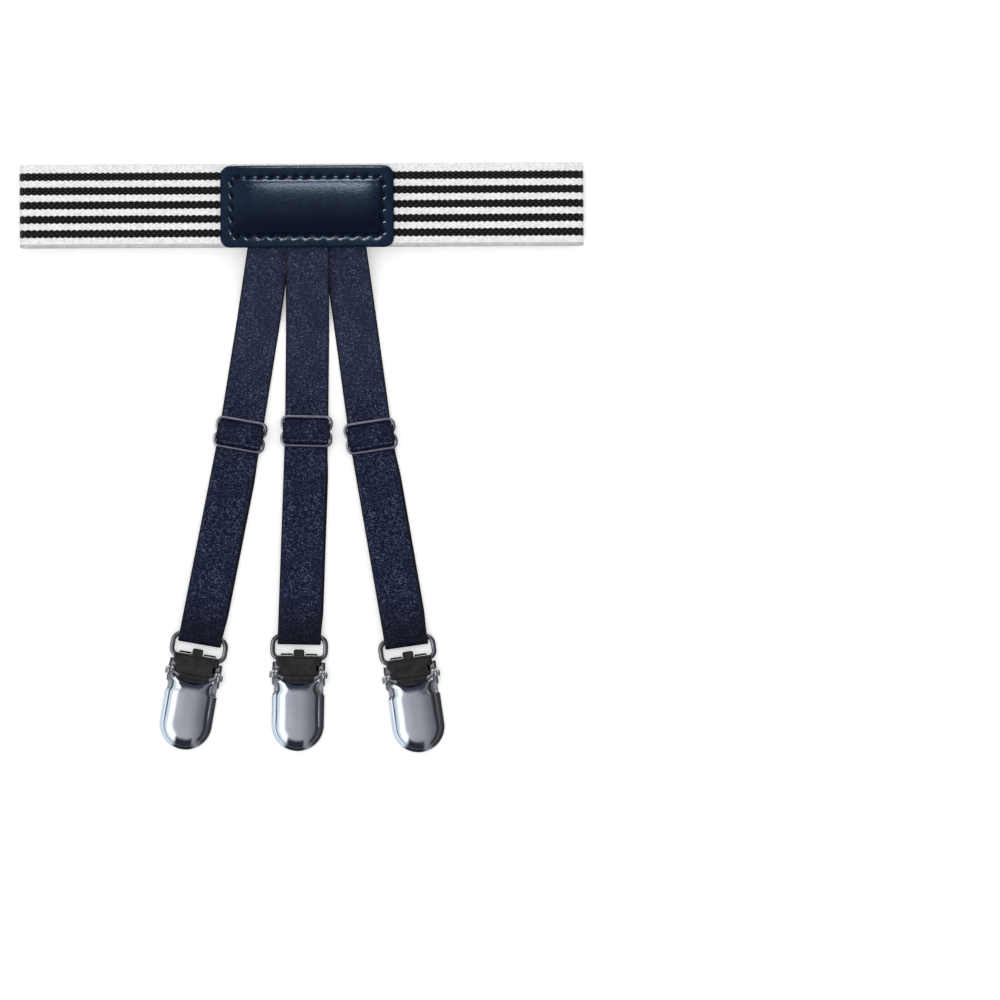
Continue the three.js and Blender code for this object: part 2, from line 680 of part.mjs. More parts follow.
function stayGroup(stay) {
  const { slider, ring } = stayPoints(stay);
  const group = new THREE.Group();
  group.add(named(`strap_${stay.name}`, strapGeometry(stay), 'strap'));

  const sliderMesh = named(`slider_${stay.name}`, sliderGeometry(), 'slider');
  sliderMesh.position.set(slider.x, slider.y, SLIDER_Z);
  sliderMesh.rotation.z = radians((stay.upperLean + stay.lowerLean) / 2);
  group.add(sliderMesh);

  const hanging = new THREE.Group();
  hanging.position.set(ring.x, ring.y, 0);
  hanging.rotation.z = radians(stay.clipLean);
  const ringMesh = named(`ring_${stay.name}`, ringGeometry(), 'ring');
  ringMesh.position.z = RING_Z;
  hanging.add(ringMesh);
  hanging.add(clipGroup(stay));
  group.add(hanging);
  return group;
}

const group = new THREE.Group();
group.add(named('thigh_band', bandGeometry(), 'band'));
group.add(named('leather_patch', patchGeometry(), 'leather'));
for (const stay of STAYS) {
  group.add(stayGroup(stay));
}

export default group;
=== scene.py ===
"""Looks of a shirt stay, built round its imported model.

A striped elastic thigh band carries a stitched leather patch. Three webbing straps
hang from it through wire sliders to rings, and each ring carries a domed clip.
Shapes are worked out in millimetres, and become metres when a mesh is made.
"""

import logging
import math
from dataclasses import dataclass, field
from enum import Enum

import bmesh
import bpy
import numpy as np
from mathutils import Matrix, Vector


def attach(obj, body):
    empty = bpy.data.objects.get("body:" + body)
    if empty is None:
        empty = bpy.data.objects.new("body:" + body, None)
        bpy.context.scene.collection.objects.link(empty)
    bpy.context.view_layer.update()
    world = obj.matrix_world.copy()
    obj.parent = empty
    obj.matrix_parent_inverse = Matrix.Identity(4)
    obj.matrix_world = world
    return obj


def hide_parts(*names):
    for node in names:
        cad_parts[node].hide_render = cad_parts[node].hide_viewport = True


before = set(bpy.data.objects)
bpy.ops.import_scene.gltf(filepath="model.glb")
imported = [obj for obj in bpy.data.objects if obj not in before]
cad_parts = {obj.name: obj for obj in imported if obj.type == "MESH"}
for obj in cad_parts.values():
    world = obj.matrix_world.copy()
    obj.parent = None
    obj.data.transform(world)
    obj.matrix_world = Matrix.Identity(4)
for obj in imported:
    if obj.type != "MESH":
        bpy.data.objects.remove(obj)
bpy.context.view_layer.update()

MM = 0.001
Array = np.ndarray
Socket = bpy.types.NodeSocket
Piece = bpy.types.Object
Colour = tuple[float, float, float, float]
SOCKETS = {"sheen": "Sheen Weight", "specular": "Specular IOR Level", "metallic": "Metallic"}


def tone(code: str) -> Colour:
    """Turns a screen colour into the linear one that shaders use.

    Args:
        code: the colour as #rrggbb.

    Returns:
        Red, green, blue and alpha, each from 0 to 1.
    """
    shares = [int(code[k : k + 2], 16) / 255 for k in (1, 3, 5)]
    linear = [s / 12.92 if s <= 0.04045 else ((s + 0.055) / 1.055) ** 2.4 for s in shares]
    return (*linear, 1.0)


def smooth(value: Array) -> Array:
    """3t^2 - 2t^3 with t held between 0 and 1."""
    t = np.clip(value, 0, 1)
    return t * t * (3 - 2 * t)


def turned(lean: Array) -> tuple[Array, Array]:
    """The x and y of a step sideways where the cloth leans that many degrees."""
    angle = np.radians(lean)
    return np.cos(angle), np.sin(angle)


class Ends(Enum):
    """How the open ends of a surface are closed."""

    LOOP = "the last section joins the first"
    POLE = "each end is drawn to a point"
    PAIR = "each end's first half is joined to its second half"
    SEAM = "the first end as a pair; the last section's halves lie on each other"


@dataclass
class Skin:
    """A closed surface on a grid: a row of sections, each a ring of points."""

    points: Array
    uv: Array
    ends: Ends = Ends.POLE

    def corners(self) -> tuple[Array, Array]:
        """Joins neighbouring points of neighbouring sections into four-sided faces.

        Returns:
            Vertex numbers and uv places of the faces, both faces x 4.
        """
        rows, columns = self.points.shape[:2]
        last = rows if self.ends is Ends.LOOP else rows - 1
        j, i = np.meshgrid(np.arange(last), np.arange(columns), indexing="ij")
        k, m = (i + 1) % columns, (j + 1) % rows
        faces = np.stack([j * columns + i, j * columns + k, m * columns + k, m * columns + i], -1)
        place = self.uv
        around = np.stack([place[j, i], place[j, i + 1], place[j + 1, i + 1], place[j + 1, i]], 2)
        faces, around = faces.reshape(-1, 4), around.reshape(-1, 4, 2)
        if self.ends in (Ends.PAIR, Ends.SEAM):
            i = np.arange(columns // 2 - 1)
            across = np.stack([i, i + 1, columns - 2 - i, columns - 1 - i], -1)
            if self.ends is Ends.PAIR:
                across = np.concatenate([across, (rows - 1) * columns + across[:, ::-1]])
            flat = place[:, :columns].reshape(-1, 2)
            faces, around = np.concatenate([faces, across]), np.concatenate([around, flat[across]])
        return faces, around

    def outward(self) -> tuple[Array, Array, Array]:
        """Adds the poles, and turns the faces outwards by the sign of the volume.

        Returns:
            Points, vertex numbers and uv places. A face at a pole repeats the pole.
        """
        points = self.points.reshape(-1, 3)
        faces, around = self.corners()
        if self.ends is Ends.POLE:
            rows, columns = self.points.shape[:2]
            poles = self.points[[0, -1]].mean(1)
            i = np.arange(columns)
            k, base, first = (i + 1) % columns, (rows - 1) * columns, len(points)
            start = np.stack([np.full(columns, first), k, i, i], -1)
            finish = np.stack([base + i, base + k, np.full(columns, first + 1), base + i], -1)
            points = np.concatenate([points, poles])
            a, b = self.uv[0], self.uv[-1]
            middle = (a[:-1] + a[1:]) / 2
            start_uv = np.stack([middle, a[1:], a[:-1], a[:-1]], 1)
            finish_uv = np.stack([b[:-1], b[1:], (b[:-1] + b[1:]) / 2, b[:-1]], 1)
            faces = np.concatenate([faces, start, finish])
            around = np.concatenate([around, start_uv, finish_uv])
        corner = points[faces]
        volume = np.einsum("ij,ij->i", corner[:, 0], np.cross(corner[:, 1], corner[:, 2])).sum()
        volume += np.einsum("ij,ij->i", corner[:, 0], np.cross(corner[:, 2], corner[:, 3])).sum()
        if volume < 0:
            faces, around = faces[:, ::-1], around[:, ::-1]
        return points, faces, around


def weld(mesh: bpy.types.Mesh) -> None:
    """Merges points that lie on each other, and drops the faces that this empties."""
    work = bmesh.new()
    work.from_mesh(mesh)
    bmesh.ops.remove_doubles(work, verts=work.verts, dist=1e-6)
    bmesh.ops.dissolve_degenerate(work, edges=work.edges, dist=1e-7)
    work.to_mesh(mesh)
    work.free()


def make_piece(name: str, skins: list[Skin], finish: bpy.types.Material, sharp: float = 42) -> Piece:
    """Puts surfaces into one mesh, in metres, with its object at the origin.

    Args:
        name: name of the piece.
        skins: its surfaces, in millimetres in the part's frame.
        finish: its material.
        sharp: an edge that turns by more than this many degrees is left sharp.

    Returns:
        The piece, linked to the scene.
    """
    made = [skin.outward() for skin in skins]
    starts = np.cumsum([0] + [len(points) for points, _, _ in made])
    points = np.concatenate([points for points, _, _ in made]) * MM
    faces = np.concatenate([f + s for (_, f, _), s in zip(made, starts)])
    around = np.concatenate([uv for _, _, uv in made])
    kept = faces != np.roll(faces, -1, axis=1)
    sizes = kept.sum(1)
    mesh = bpy.data.meshes.new(name)
    mesh.vertices.add(len(points))
    mesh.vertices.foreach_set("co", points.astype(np.float32).ravel())
    mesh.loops.add(int(sizes.sum()))
    mesh.loops.foreach_set("vertex_index", faces[kept].astype(np.int32))
    mesh.polygons.add(len(faces))
    loop_starts = np.concatenate([[0], np.cumsum(sizes)[:-1]]).astype(np.int32)
    mesh.polygons.foreach_set("loop_start", loop_starts)
    mesh.polygons.foreach_set("use_smooth", np.ones(len(faces), bool))
    mesh.update(calc_edges=True)
    layer = mesh.uv_layers.new(name="cloth_mm")
    layer.data.foreach_set("uv", around[kept].astype(np.float32).ravel())
    if any(skin.ends in (Ends.PAIR, Ends.SEAM) for skin in skins):
        weld(mesh)
    mesh.validate()
    mesh.set_sharp_from_angle(angle=math.radians(sharp))
    mesh.materials.append(finish)
    piece = bpy.data.objects.new(name, mesh)
    bpy.context.scene.collection.objects.link(piece)
    return piece


@dataclass(frozen=True)
class Bar:
    """Something round that a strip passes in its side view. Radius 0 is a plain point."""

    s: float
    z: float
    radius: float = 0
    way: int = 1
    sweep: float = 0


def taut_path(bars: list[Bar], step: float = 0.5, turn_step: float = 7) -> Array:
    """Follows a strip pulled taut round a row of bars, as straight runs and arcs.

    A run leaves one bar and meets the next along their common tangent, whose heading is
    the heading between the bars less the arc sine of the radii's signed difference over
    the reach. An arc's point is the bar's centre plus the radius across the heading.

    Args:
        bars: what the strip passes, in order.
        step: distance between points of a straight run.
        turn_step: degrees between points of an arc.

    Returns:
        Distance and height of each point, points x 2.
    """
    headings = []
    for here, there in zip(bars, bars[1:]):
        reach = math.hypot(there.s - here.s, there.z - here.z)
        offset = there.way * there.radius - here.way * here.radius
        headings.append(math.atan2(there.z - here.z, there.s - here.s) - math.asin(offset / reach))
    arcs = []
    for k, bar in enumerate(bars):
        arriving, leaving = headings[max(k - 1, 0)], headings[min(k, len(headings) - 1)]
        turn = bar.way * math.radians(bar.sweep) if bar.sweep else leaving - arriving
        if bar.radius and turn * bar.way < 0:
            turn += bar.way * 2 * math.pi
        steps = max(1, math.ceil(abs(turn) / math.radians(turn_step))) if bar.radius else 0
        heading = arriving + turn * np.linspace(0, 1, steps + 1)
        across = bar.way * bar.radius * np.stack([np.sin(heading), -np.cos(heading)], -1)
        arcs.append(np.array([bar.s, bar.z]) + across)
    runs = [arcs[0]]
    for before, after in zip(arcs, arcs[1:]):
        gap = after[0] - before[-1]
        count = max(1, round(float(np.hypot(*gap)) / step))
        runs += [before[-1] + gap * np.linspace(0, 1, count + 1)[1:-1, None], after]
    path = np.concatenate(runs)
    moved = np.hypot(*np.diff(path, axis=0).T) > 1e-4
    return path[np.concatenate([[True], moved])]


def along(path: Array) -> Array:
    """Distance travelled from the first point to each point of a path."""
    return np.concatenate([[0], np.cumsum(np.hypot(*np.diff(path, axis=0).T))])


def strip_section(flat: int, edge: int) -> Array:
    """A flat strip's section as a ring: two flat sides joined by two half circles.

    Args:
        flat: steps across each flat side.
        edge: steps round each edge.

    Returns:
        Share of the flat's half width, share of the edge's radius outwards, and share
        of the half thickness upwards, points x 3.
    """
    turn = np.linspace(-np.pi / 2, np.pi / 2, edge + 1)
    right = np.stack([np.ones(edge + 1), np.cos(turn), np.sin(turn)], -1)
    share = np.linspace(1, -1, flat + 1)[1:-1]
    top = np.stack([share, np.zeros(flat - 1), np.ones(flat - 1)], -1)
    left = np.stack([-np.ones(edge + 1), -np.cos(turn), -np.sin(turn)], -1)
    bottom = np.stack([-share, np.zeros(flat - 1), -np.ones(flat - 1)], -1)
    return np.concatenate([right, top, left, bottom])


@dataclass
class StripShape:
    """How a strip is wide, thick and rounded along its path."""

    thickness: float
    rounding: float
    flat: int = 8
    edge: int = 4

    def sheet(self, path: Array, half_width: Array, loop: bool = False) -> tuple[Array, Array, Array, Array]:
        """Carries the section along a side-view path, square to its heading.

        Args:
            path: distance and height of each point.
            half_width: half the strip's width at each point.
            loop: whether the path's ends meet.

        Returns:
            Distance, place across, height and length along of every surface point.
        """
        if loop:
            step = np.roll(path, -1, 0) - np.roll(path, 1, 0)
        else:
            step = np.gradient(path, axis=0)
        heading = np.arctan2(step[:, 1], step[:, 0])[:, None]
        section = strip_section(self.flat, self.edge)
        across = (half_width[:, None] - self.rounding) * section[:, 0]
        across = across + self.rounding * section[:, 1]
        up = self.thickness / 2 * section[:, 2]
        s = path[:, :1] - np.sin(heading) * up
        z = path[:, 1:] + np.cos(heading) * up
        length = np.broadcast_to(along(path)[:, None], s.shape)
        return s, across, z, length


def wrapped(uv: Array) -> Array:
    """Repeats the first column of uv places after the last, where the ring closes."""
    return np.concatenate([uv, uv[:, :1]], 1)


def wire(outline: Array, diameter: float, sides: int = 16, height: float = 0) -> Skin:
    """A round wire bent along a closed flat outline.

    A point is the outline's point, plus the radius times the cosine of the turn along
    the outline's flat normal, and times its sine upwards.

    Args:
        outline: x and y of the wire's middle, points x 2.
        diameter: the wire's thickness.
        sides: points round the wire.
        height: z of the wire's middle.

    Returns:
        The wire's surface.
    """
    tangent = np.roll(outline, -1, 0) - np.roll(outline, 1, 0)
    tangent /= np.linalg.norm(tangent, axis=1, keepdims=True)
    turn = np.linspace(0, 2 * np.pi, sides, endpoint=False)
    out, up = np.cos(turn) * diameter / 2, np.sin(turn) * diameter / 2
    x = outline[:, :1] + tangent[:, 1:] * out
    y = outline[:, 1:] - tangent[:, :1] * out
    points = np.stack([x, y, np.broadcast_to(height + up, x.shape)], -1)
    length = np.linspace(0, 1, len(outline) + 1)[:, None] * along(outline)[-1]
    around = np.linspace(0, np.pi * diameter, sides + 1)[None]
    uv = np.stack(np.broadcast_arrays(length, around), -1)
    return Skin(points, uv, Ends.LOOP)


def spun(profile: Array, sides: int = 28) -> Skin:
    """A turned part: each profile point (radius, x) carried round the x axis."""
    turn = np.linspace(0, 2 * np.pi, sides, endpoint=False)
    x = np.broadcast_to(profile[:, 1:], (len(profile), sides))
    points = np.stack([x, profile[:, :1] * np.cos(turn), profile[:, :1] * np.sin(turn)], -1)
    length = along(profile)[:, None]
    uv = np.stack(np.broadcast_arrays(length, np.linspace(0, 2, sides + 1)), -1)
    return Skin(points, uv)


def evened(outline: Array, count: int) -> Array:
    """A closed outline walked in equal steps, as that many points."""
    ring = np.concatenate([outline, outline[:1]])
    place = along(ring)
    step = np.linspace(0, place[-1], count, endpoint=False)
    return np.stack([np.interp(step, place, ring[:, k]) for k in (0, 1)], -1)


def arc(x: float, y: float, radius: float, first: float, last: float, steps: int = 16) -> Array:
    """Points on a circle from one angle to another, in degrees."""
    turn = np.radians(np.linspace(first, last, steps + 1))
    return np.stack([x + radius * np.cos(turn), y + radius * np.sin(turn)], -1)


@dataclass
class Plate:
    """A flat plate with rounded edges, and a round hole or none."""

    outline: Array
    thickness: float
    edge: float = 0.22
    centre: tuple[float, float] = (0, 0)
    hole: float = 0
    rings: int = 6

    def skin(self, relief: float = 0, relief_place: float = 0.62) -> Skin:
        """Runs rings from the middle or hole, over one face, round the edge and back.

        A ring is the outline drawn towards the centre. At the edge it is set in by the
        edge radius times one less the cosine of the turn. A pressed line lifts the
        underside by a bell curve of the ring's share.

        Args:
            relief: depth of the line pressed into the underside.
            relief_place: the share of the outline that it follows.

        Returns:
            The plate, lying in x and y from height 0 to its thickness.
        """
        centre = np.array(self.centre)
        outer = self.outline - centre
        reach = np.linalg.norm(outer, axis=1, keepdims=True)
        unit = outer / reach
        share = np.linspace(0, 1, self.rings + 1)[:-1] ** 0.8
        turn = np.linspace(0, np.pi, 9)
        inner = np.full(len(outer), self.hole)[:, None]
        span = reach - self.edge - inner
        face = inner + span * share
        rim = reach - self.edge + self.edge * np.sin(turn)
        radius = np.concatenate([face, rim, face[:, ::-1]], 1).T
        press = relief * np.exp(-(((share - relief_place) / 0.05) ** 2))
        low, high = press, np.full(len(share), self.thickness)
        side = self.thickness / 2 * (1 - np.cos(turn))
        height = np.concatenate([low, side, high])[:, None]
        plan = centre + radius[..., None] * unit
        if not self.hole:
            plan, height = plan[1:-1], height[1:-1]
        z = np.broadcast_to(height, plan.shape[:2])
        points = np.concatenate([plan, z[..., None]], -1)
        uv = wrapped(plan)
        if self.hole:
            return Skin(points, np.concatenate([uv, uv[:1]]), Ends.LOOP)
        return Skin(points, uv, Ends.POLE)


def stood_up(skin: Skin, start: float) -> Skin:
    """Stands a flat plate on edge: its x becomes the clip's distance, its y the height,
    and its thickness lies across the clip from start."""
    distance, height, across = np.moveaxis(skin.points, -1, 0)
    return Skin(np.stack([start + across, -distance, height], -1), skin.uv, skin.ends)


class Nodes:
    """Adds nodes to one tree and links them."""

    def __init__(self, tree: bpy.types.NodeTree) -> None:
        """Keeps the tree that the nodes go into."""
        self.tree = tree

    def node(self, kind: str, sockets: dict | None = None, **settings: object) -> bpy.types.Node:
        """Adds a node.

        Args:
            kind: the node's Blender type.
            sockets: input names or numbers, each with a value or an output to link.
            settings: the node's own settings.

        Returns:
            The node.
        """
        made = self.tree.nodes.new(kind)
        for key, value in settings.items():
            setattr(made, key, value)
        for key, value in (sockets or {}).items():
            if isinstance(value, Socket):
                self.tree.links.new(value, made.inputs[key])
            else:
                made.inputs[key].default_value = value
        return made

    def math(self, operation: str, *values: object, clamp: bool = False) -> Socket:
        """The result of one Math node."""
        sockets = dict(enumerate(values))
        return self.node("ShaderNodeMath", sockets, operation=operation, use_clamp=clamp).outputs[0]

    def times(self, *values: object) -> Socket:
        """The product of two values."""
        return self.math("MULTIPLY", *values)

    def plus(self, *values: object) -> Socket:
        """The sum of two values."""
        return self.math("ADD", *values)

    def away(self, value: Socket, middle: object) -> Socket:
        """How far a value is from a middle one, either way."""
        return self.math("ABSOLUTE", self.math("SUBTRACT", value, middle))

    def between(self, value: Socket, low: object, high: object, first: float = 0, last: float = 1) -> Socket:
        """first below low, last above high, and smooth in between."""
        sockets = {0: value, 1: low, 2: high, 3: first, 4: last}
        return self.node("ShaderNodeMapRange", sockets, interpolation_type="SMOOTHSTEP").outputs[0]

    def mix(self, factor: object, first: object, second: object, mode: str = "MIX") -> Socket:
        """One colour over another."""
        sockets = {0: factor, 6: first, 7: second}
        return self.node("ShaderNodeMix", sockets, data_type="RGBA", blend_type=mode).outputs[2]

    def noise(self, place: Socket, scale: float, detail: float = 2, rough: float = 0.5) -> Socket:
        """A noise value about 0.5."""
        sockets = {"Vector": place, "Scale": scale, "Detail": detail, "Roughness": rough}
        return self.node("ShaderNodeTexNoise", sockets).outputs[0]

    def cells(self, place: Socket, scale: float) -> bpy.types.Node:
        """Voronoi cells: Distance from the nearest middle and Color for each cell."""
        return self.node("ShaderNodeTexVoronoi", {"Vector": place, "Scale": scale})

    def stretched(self, place: Socket, x: float, y: float, z: float = 1) -> Socket:
        """The place scaled along each axis."""
        sockets = {"Vector": place, "Scale": (x, y, z)}
        return self.node("ShaderNodeMapping", sockets).outputs[0]

    def bump(self, height: Socket, depth: float, strength: float = 1) -> Socket:
        """A normal from a height; depth is in metres."""
        sockets = {"Strength": strength, "Distance": depth, "Height": height}
        return self.node("ShaderNodeBump", sockets).outputs[0]

    def attribute(self, name: str) -> Socket:
        """The value of the mesh's own attribute."""
        return self.node("ShaderNodeAttribute", attribute_name=name).outputs["Fac"]

    def surface(
        self, shader: bpy.types.Node, colour: Socket, normal: Socket, rough: Socket, **constants: float
    ) -> None:
        """Links a shader's colour, normal and roughness, and sets its named constants."""
        for name, value in (("Base Color", colour), ("Normal", normal), ("Roughness", rough)):
            self.tree.links.new(value, shader.inputs[name])
        for name, value in constants.items():
            shader.inputs[SOCKETS[name]].default_value = value

    def object_mm(self) -> Socket:
        """The place on the part, in millimetres."""
        place = self.node("ShaderNodeTexCoord").outputs["Object"]
        return self.stretched(place, 1 / MM, 1 / MM, 1 / MM)

    def cloth_mm(self) -> tuple[Socket, Socket, Socket]:
        """The piece's own uv in millimetres: the vector, along and across."""
        place = self.node("ShaderNodeUVMap", uv_map="cloth_mm").outputs[0]
        parts = self.node("ShaderNodeSeparateXYZ", {0: place}).outputs
        return place, parts[0], parts[1]


@dataclass
class Effect:
    """A shader node group with named inputs and outputs."""

    name: str
    inputs: dict[str, float]
    outputs: tuple[str, ...]
    tree: bpy.types.NodeTree = field(init=False)
    nodes: Nodes = field(init=False)
    entry: bpy.types.Node = field(init=False)

    def __post_init__(self) -> None:
        """Makes the group's sockets and its ends."""
        self.tree = bpy.data.node_groups.new(self.name, "ShaderNodeTree")
        sockets = self.tree.interface
        sockets.new_socket("Place", in_out="INPUT", socket_type="NodeSocketVector")
        for name, value in self.inputs.items():
            sockets.new_socket(name, in_out="INPUT", socket_type="NodeSocketFloat").default_value = value
        for name in self.outputs:
            sockets.new_socket(name, in_out="OUTPUT", socket_type="NodeSocketFloat")
        self.nodes = Nodes(self.tree)
        self.entry = self.tree.nodes.new("NodeGroupInput")

    def gives(self, **results: Socket) -> None:
        """Links the results to the group's outputs."""
        leave = self.tree.nodes.new("NodeGroupOutput")
        for name, value in results.items():
            self.tree.links.new(value, leave.inputs[name])

    def placed(self, nodes: Nodes, place: Socket, **values: float) -> bpy.types.Node:
        """The group as a node of a material, with that material's own values."""
        made = nodes.node("ShaderNodeGroup", node_tree=self.tree)
        nodes.tree.links.new(place, made.inputs["Place"])
        for name, value in values.items():
            made.inputs[name].default_value = value
        return made


def weave_effect() -> Effect:
    """Crossing yarns. Relief is a half plus half of the sine along times the sine across,
    and Yarn is a random value for each crossing."""
    effect = Effect("crossing_yarns", {"Along": 0.8, "Across": 0.6}, ("Relief", "Yarn"))
    n, entry = effect.nodes, effect.entry.outputs
    parts = n.node("ShaderNodeSeparateXYZ", {0: entry["Place"]}).outputs
    steps = [n.math("DIVIDE", parts[k], entry[name]) for k, name in ((0, "Along"), (1, "Across"))]
    waves = [n.math("SINE", n.times(step, math.pi)) for step in steps]
    relief = n.math("MULTIPLY_ADD", n.times(*waves), 0.5, 0.5)
    cell = n.node("ShaderNodeCombineXYZ", {k: n.math("FLOOR", steps[k]) for k in (0, 1)})
    yarn = n.node("ShaderNodeTexWhiteNoise", {0: cell.outputs[0]}, noise_dimensions="2D")
    effect.gives(Relief=relief, Yarn=yarn.outputs[0])
    return effect


def grain_effect() -> Effect:
    """Pebbled grain. Relief is the distance to the nearest of two sizes of cell middles,
    and Cloud is a soft noise many grains wide."""
    effect = Effect("pebbled_grain", {"Pitch": 0.6}, ("Relief", "Cloud"))
    n, entry = effect.nodes, effect.entry.outputs
    scale = n.math("DIVIDE", 1.0, entry["Pitch"])
    place = n.node("ShaderNodeVectorMath", {0: entry["Place"]}, operation="SCALE")
    effect.tree.links.new(scale, place.inputs["Scale"])
    coarse = n.cells(place.outputs[0], 1).outputs["Distance"]
    fine = n.cells(place.outputs[0], 2.3).outputs["Distance"]
    relief = n.math("MULTIPLY_ADD", coarse, -0.7, n.math("MULTIPLY_ADD", fine, -0.3, 1.0))
    effect.gives(Relief=relief, Cloud=n.noise(place.outputs[0], 0.09, 3))
    return effect


def handling_effect() -> Effect:
    """Signs of handling on metal. Scratch is 1 on thin lines where stretched noise passes
    its middle value, and Smudge a soft noise."""
    effect = Effect("handling_marks", {"Pitch": 1.0}, ("Scratch", "Smudge"))
    n, entry = effect.nodes, effect.entry.outputs
    place = n.node("ShaderNodeVectorMath", {0: entry["Place"]}, operation="SCALE")
    effect.tree.links.new(n.math("DIVIDE", 1.0, entry["Pitch"]), place.inputs["Scale"])
    line = n.noise(n.stretched(place.outputs[0], 2.2, 0.12, 1.1), 1.3, 2)
    away = n.away(line, 0.5)
    scratch = n.between(away, 0.0, 0.006, 1, 0)
    effect.gives(Scratch=scratch, Smudge=n.noise(place.outputs[0], 0.35, 3))
    return effect


WEAVE = weave_effect()
GRAIN = grain_effect()
HANDLING = handling_effect()


def new_material(name: str) -> tuple[bpy.types.Material, Nodes, bpy.types.Node]:
    """An empty material, its nodes and its Principled shader."""
    material = bpy.data.materials.new(name)
    material.use_nodes = True
    nodes = Nodes(material.node_tree)
    return material, nodes, material.node_tree.nodes["Principled BSDF"]


@dataclass(frozen=True)
class StripedElastic:
    """White elastic with black stripes whose edges step in and out with the weave."""

    white: str = "#f9f9f9"
    shade: str = "#c9c9cc"
    black: str = "#0b0b0c"
    black_yarn: str = "#404041"
    # Grey of the lower selvedge, standing for the shade of its rolled edge.
    shaded_hem: str = "#9c9c9e"
    pitch: float = 5.13
    centre: float = 0.27
    half_stripe: float = 1.4
    stripes: int = 5
    step: float = 2.05
    swing: float = 0.2
    edge: float = 15.0
    lattice_slope: float = 1.25
    hem_width: float = 1.45
    yarn_along: float = 0.52
    yarn_across: float = 0.42

    def material(self) -> bpy.types.Material:
        """Builds the cloth.

        A stripe is where the distance from the nearest stripe's middle is under its half
        width plus a zigzag along the band.
        """
        made, n, shader = new_material("striped_elastic")
        place, u, v = n.cloth_mm()
        wobble = n.math("MULTIPLY_ADD", n.noise(place, 0.5, 2), 0.5, -0.25)
        zig = n.math("DIVIDE", n.math("PINGPONG", u, self.step / 2), self.step / 2)
        zig = n.math("MULTIPLY_ADD", zig, 2 * self.swing, -self.swing)
        row = n.math("DIVIDE", n.math("SUBTRACT", v, self.centre), self.pitch)
        away = n.math("SUBTRACT", row, n.math("ROUND", row))
        away = n.times(n.math("ABSOLUTE", away), self.pitch)
        inside = n.math("SUBTRACT", n.plus(zig, n.times(wobble, 0.5)), away)
        inside = n.plus(inside, self.half_stripe)
        reach = n.away(v, self.centre)
        held = n.math("LESS_THAN", reach, self.pitch * self.stripes / 2)
        stripe = n.times(n.between(inside, -0.08, 0.1), held)
        slope = n.times(v, self.lattice_slope)
        lattice = n.math("PINGPONG", n.plus(u, slope), self.step / 2)
        crossed = n.math("PINGPONG", n.math("SUBTRACT", u, slope), self.step / 2)
        lattice = n.times(lattice, crossed)
        chain = n.between(lattice, 0.35, 0.75)
        weave = WEAVE.placed(n, place, Along=self.yarn_along, Across=self.yarn_across)
        yarn = n.times(weave.outputs["Relief"], weave.outputs["Yarn"])
        pale = n.mix(n.times(n.between(yarn, 0.15, 0.7), 0.85), tone(self.white), tone(self.shade))
        twill = n.math("PINGPONG", n.plus(u, v), self.yarn_across)
        # Lower selvedge: its twill dashes are the cloth's own, and their grey is painted shade of the rolled edge.
        shaded_hem = n.between(v, self.hem_width - self.edge, self.hem_width - self.edge - 0.35)
        shaded_hem = n.times(shaded_hem, n.between(n.plus(twill, wobble), 0.02, 0.4, 0.15, 1))
        pale = n.mix(shaded_hem, pale, tone(self.shaded_hem))
        dark = n.mix(n.times(chain, 0.85), tone(self.black), tone(self.black_yarn))
        colour = n.mix(stripe, pale, dark)
        relief = n.math("MULTIPLY_ADD", stripe, 0.35, n.times(weave.outputs["Relief"], 0.65))
        rough = n.between(weave.outputs["Yarn"], 0, 1, 0.78, 0.95)
        n.surface(shader, colour, n.bump(relief, 0.00016, 0.7), rough, sheen=0.12, specular=0.25)
        return made


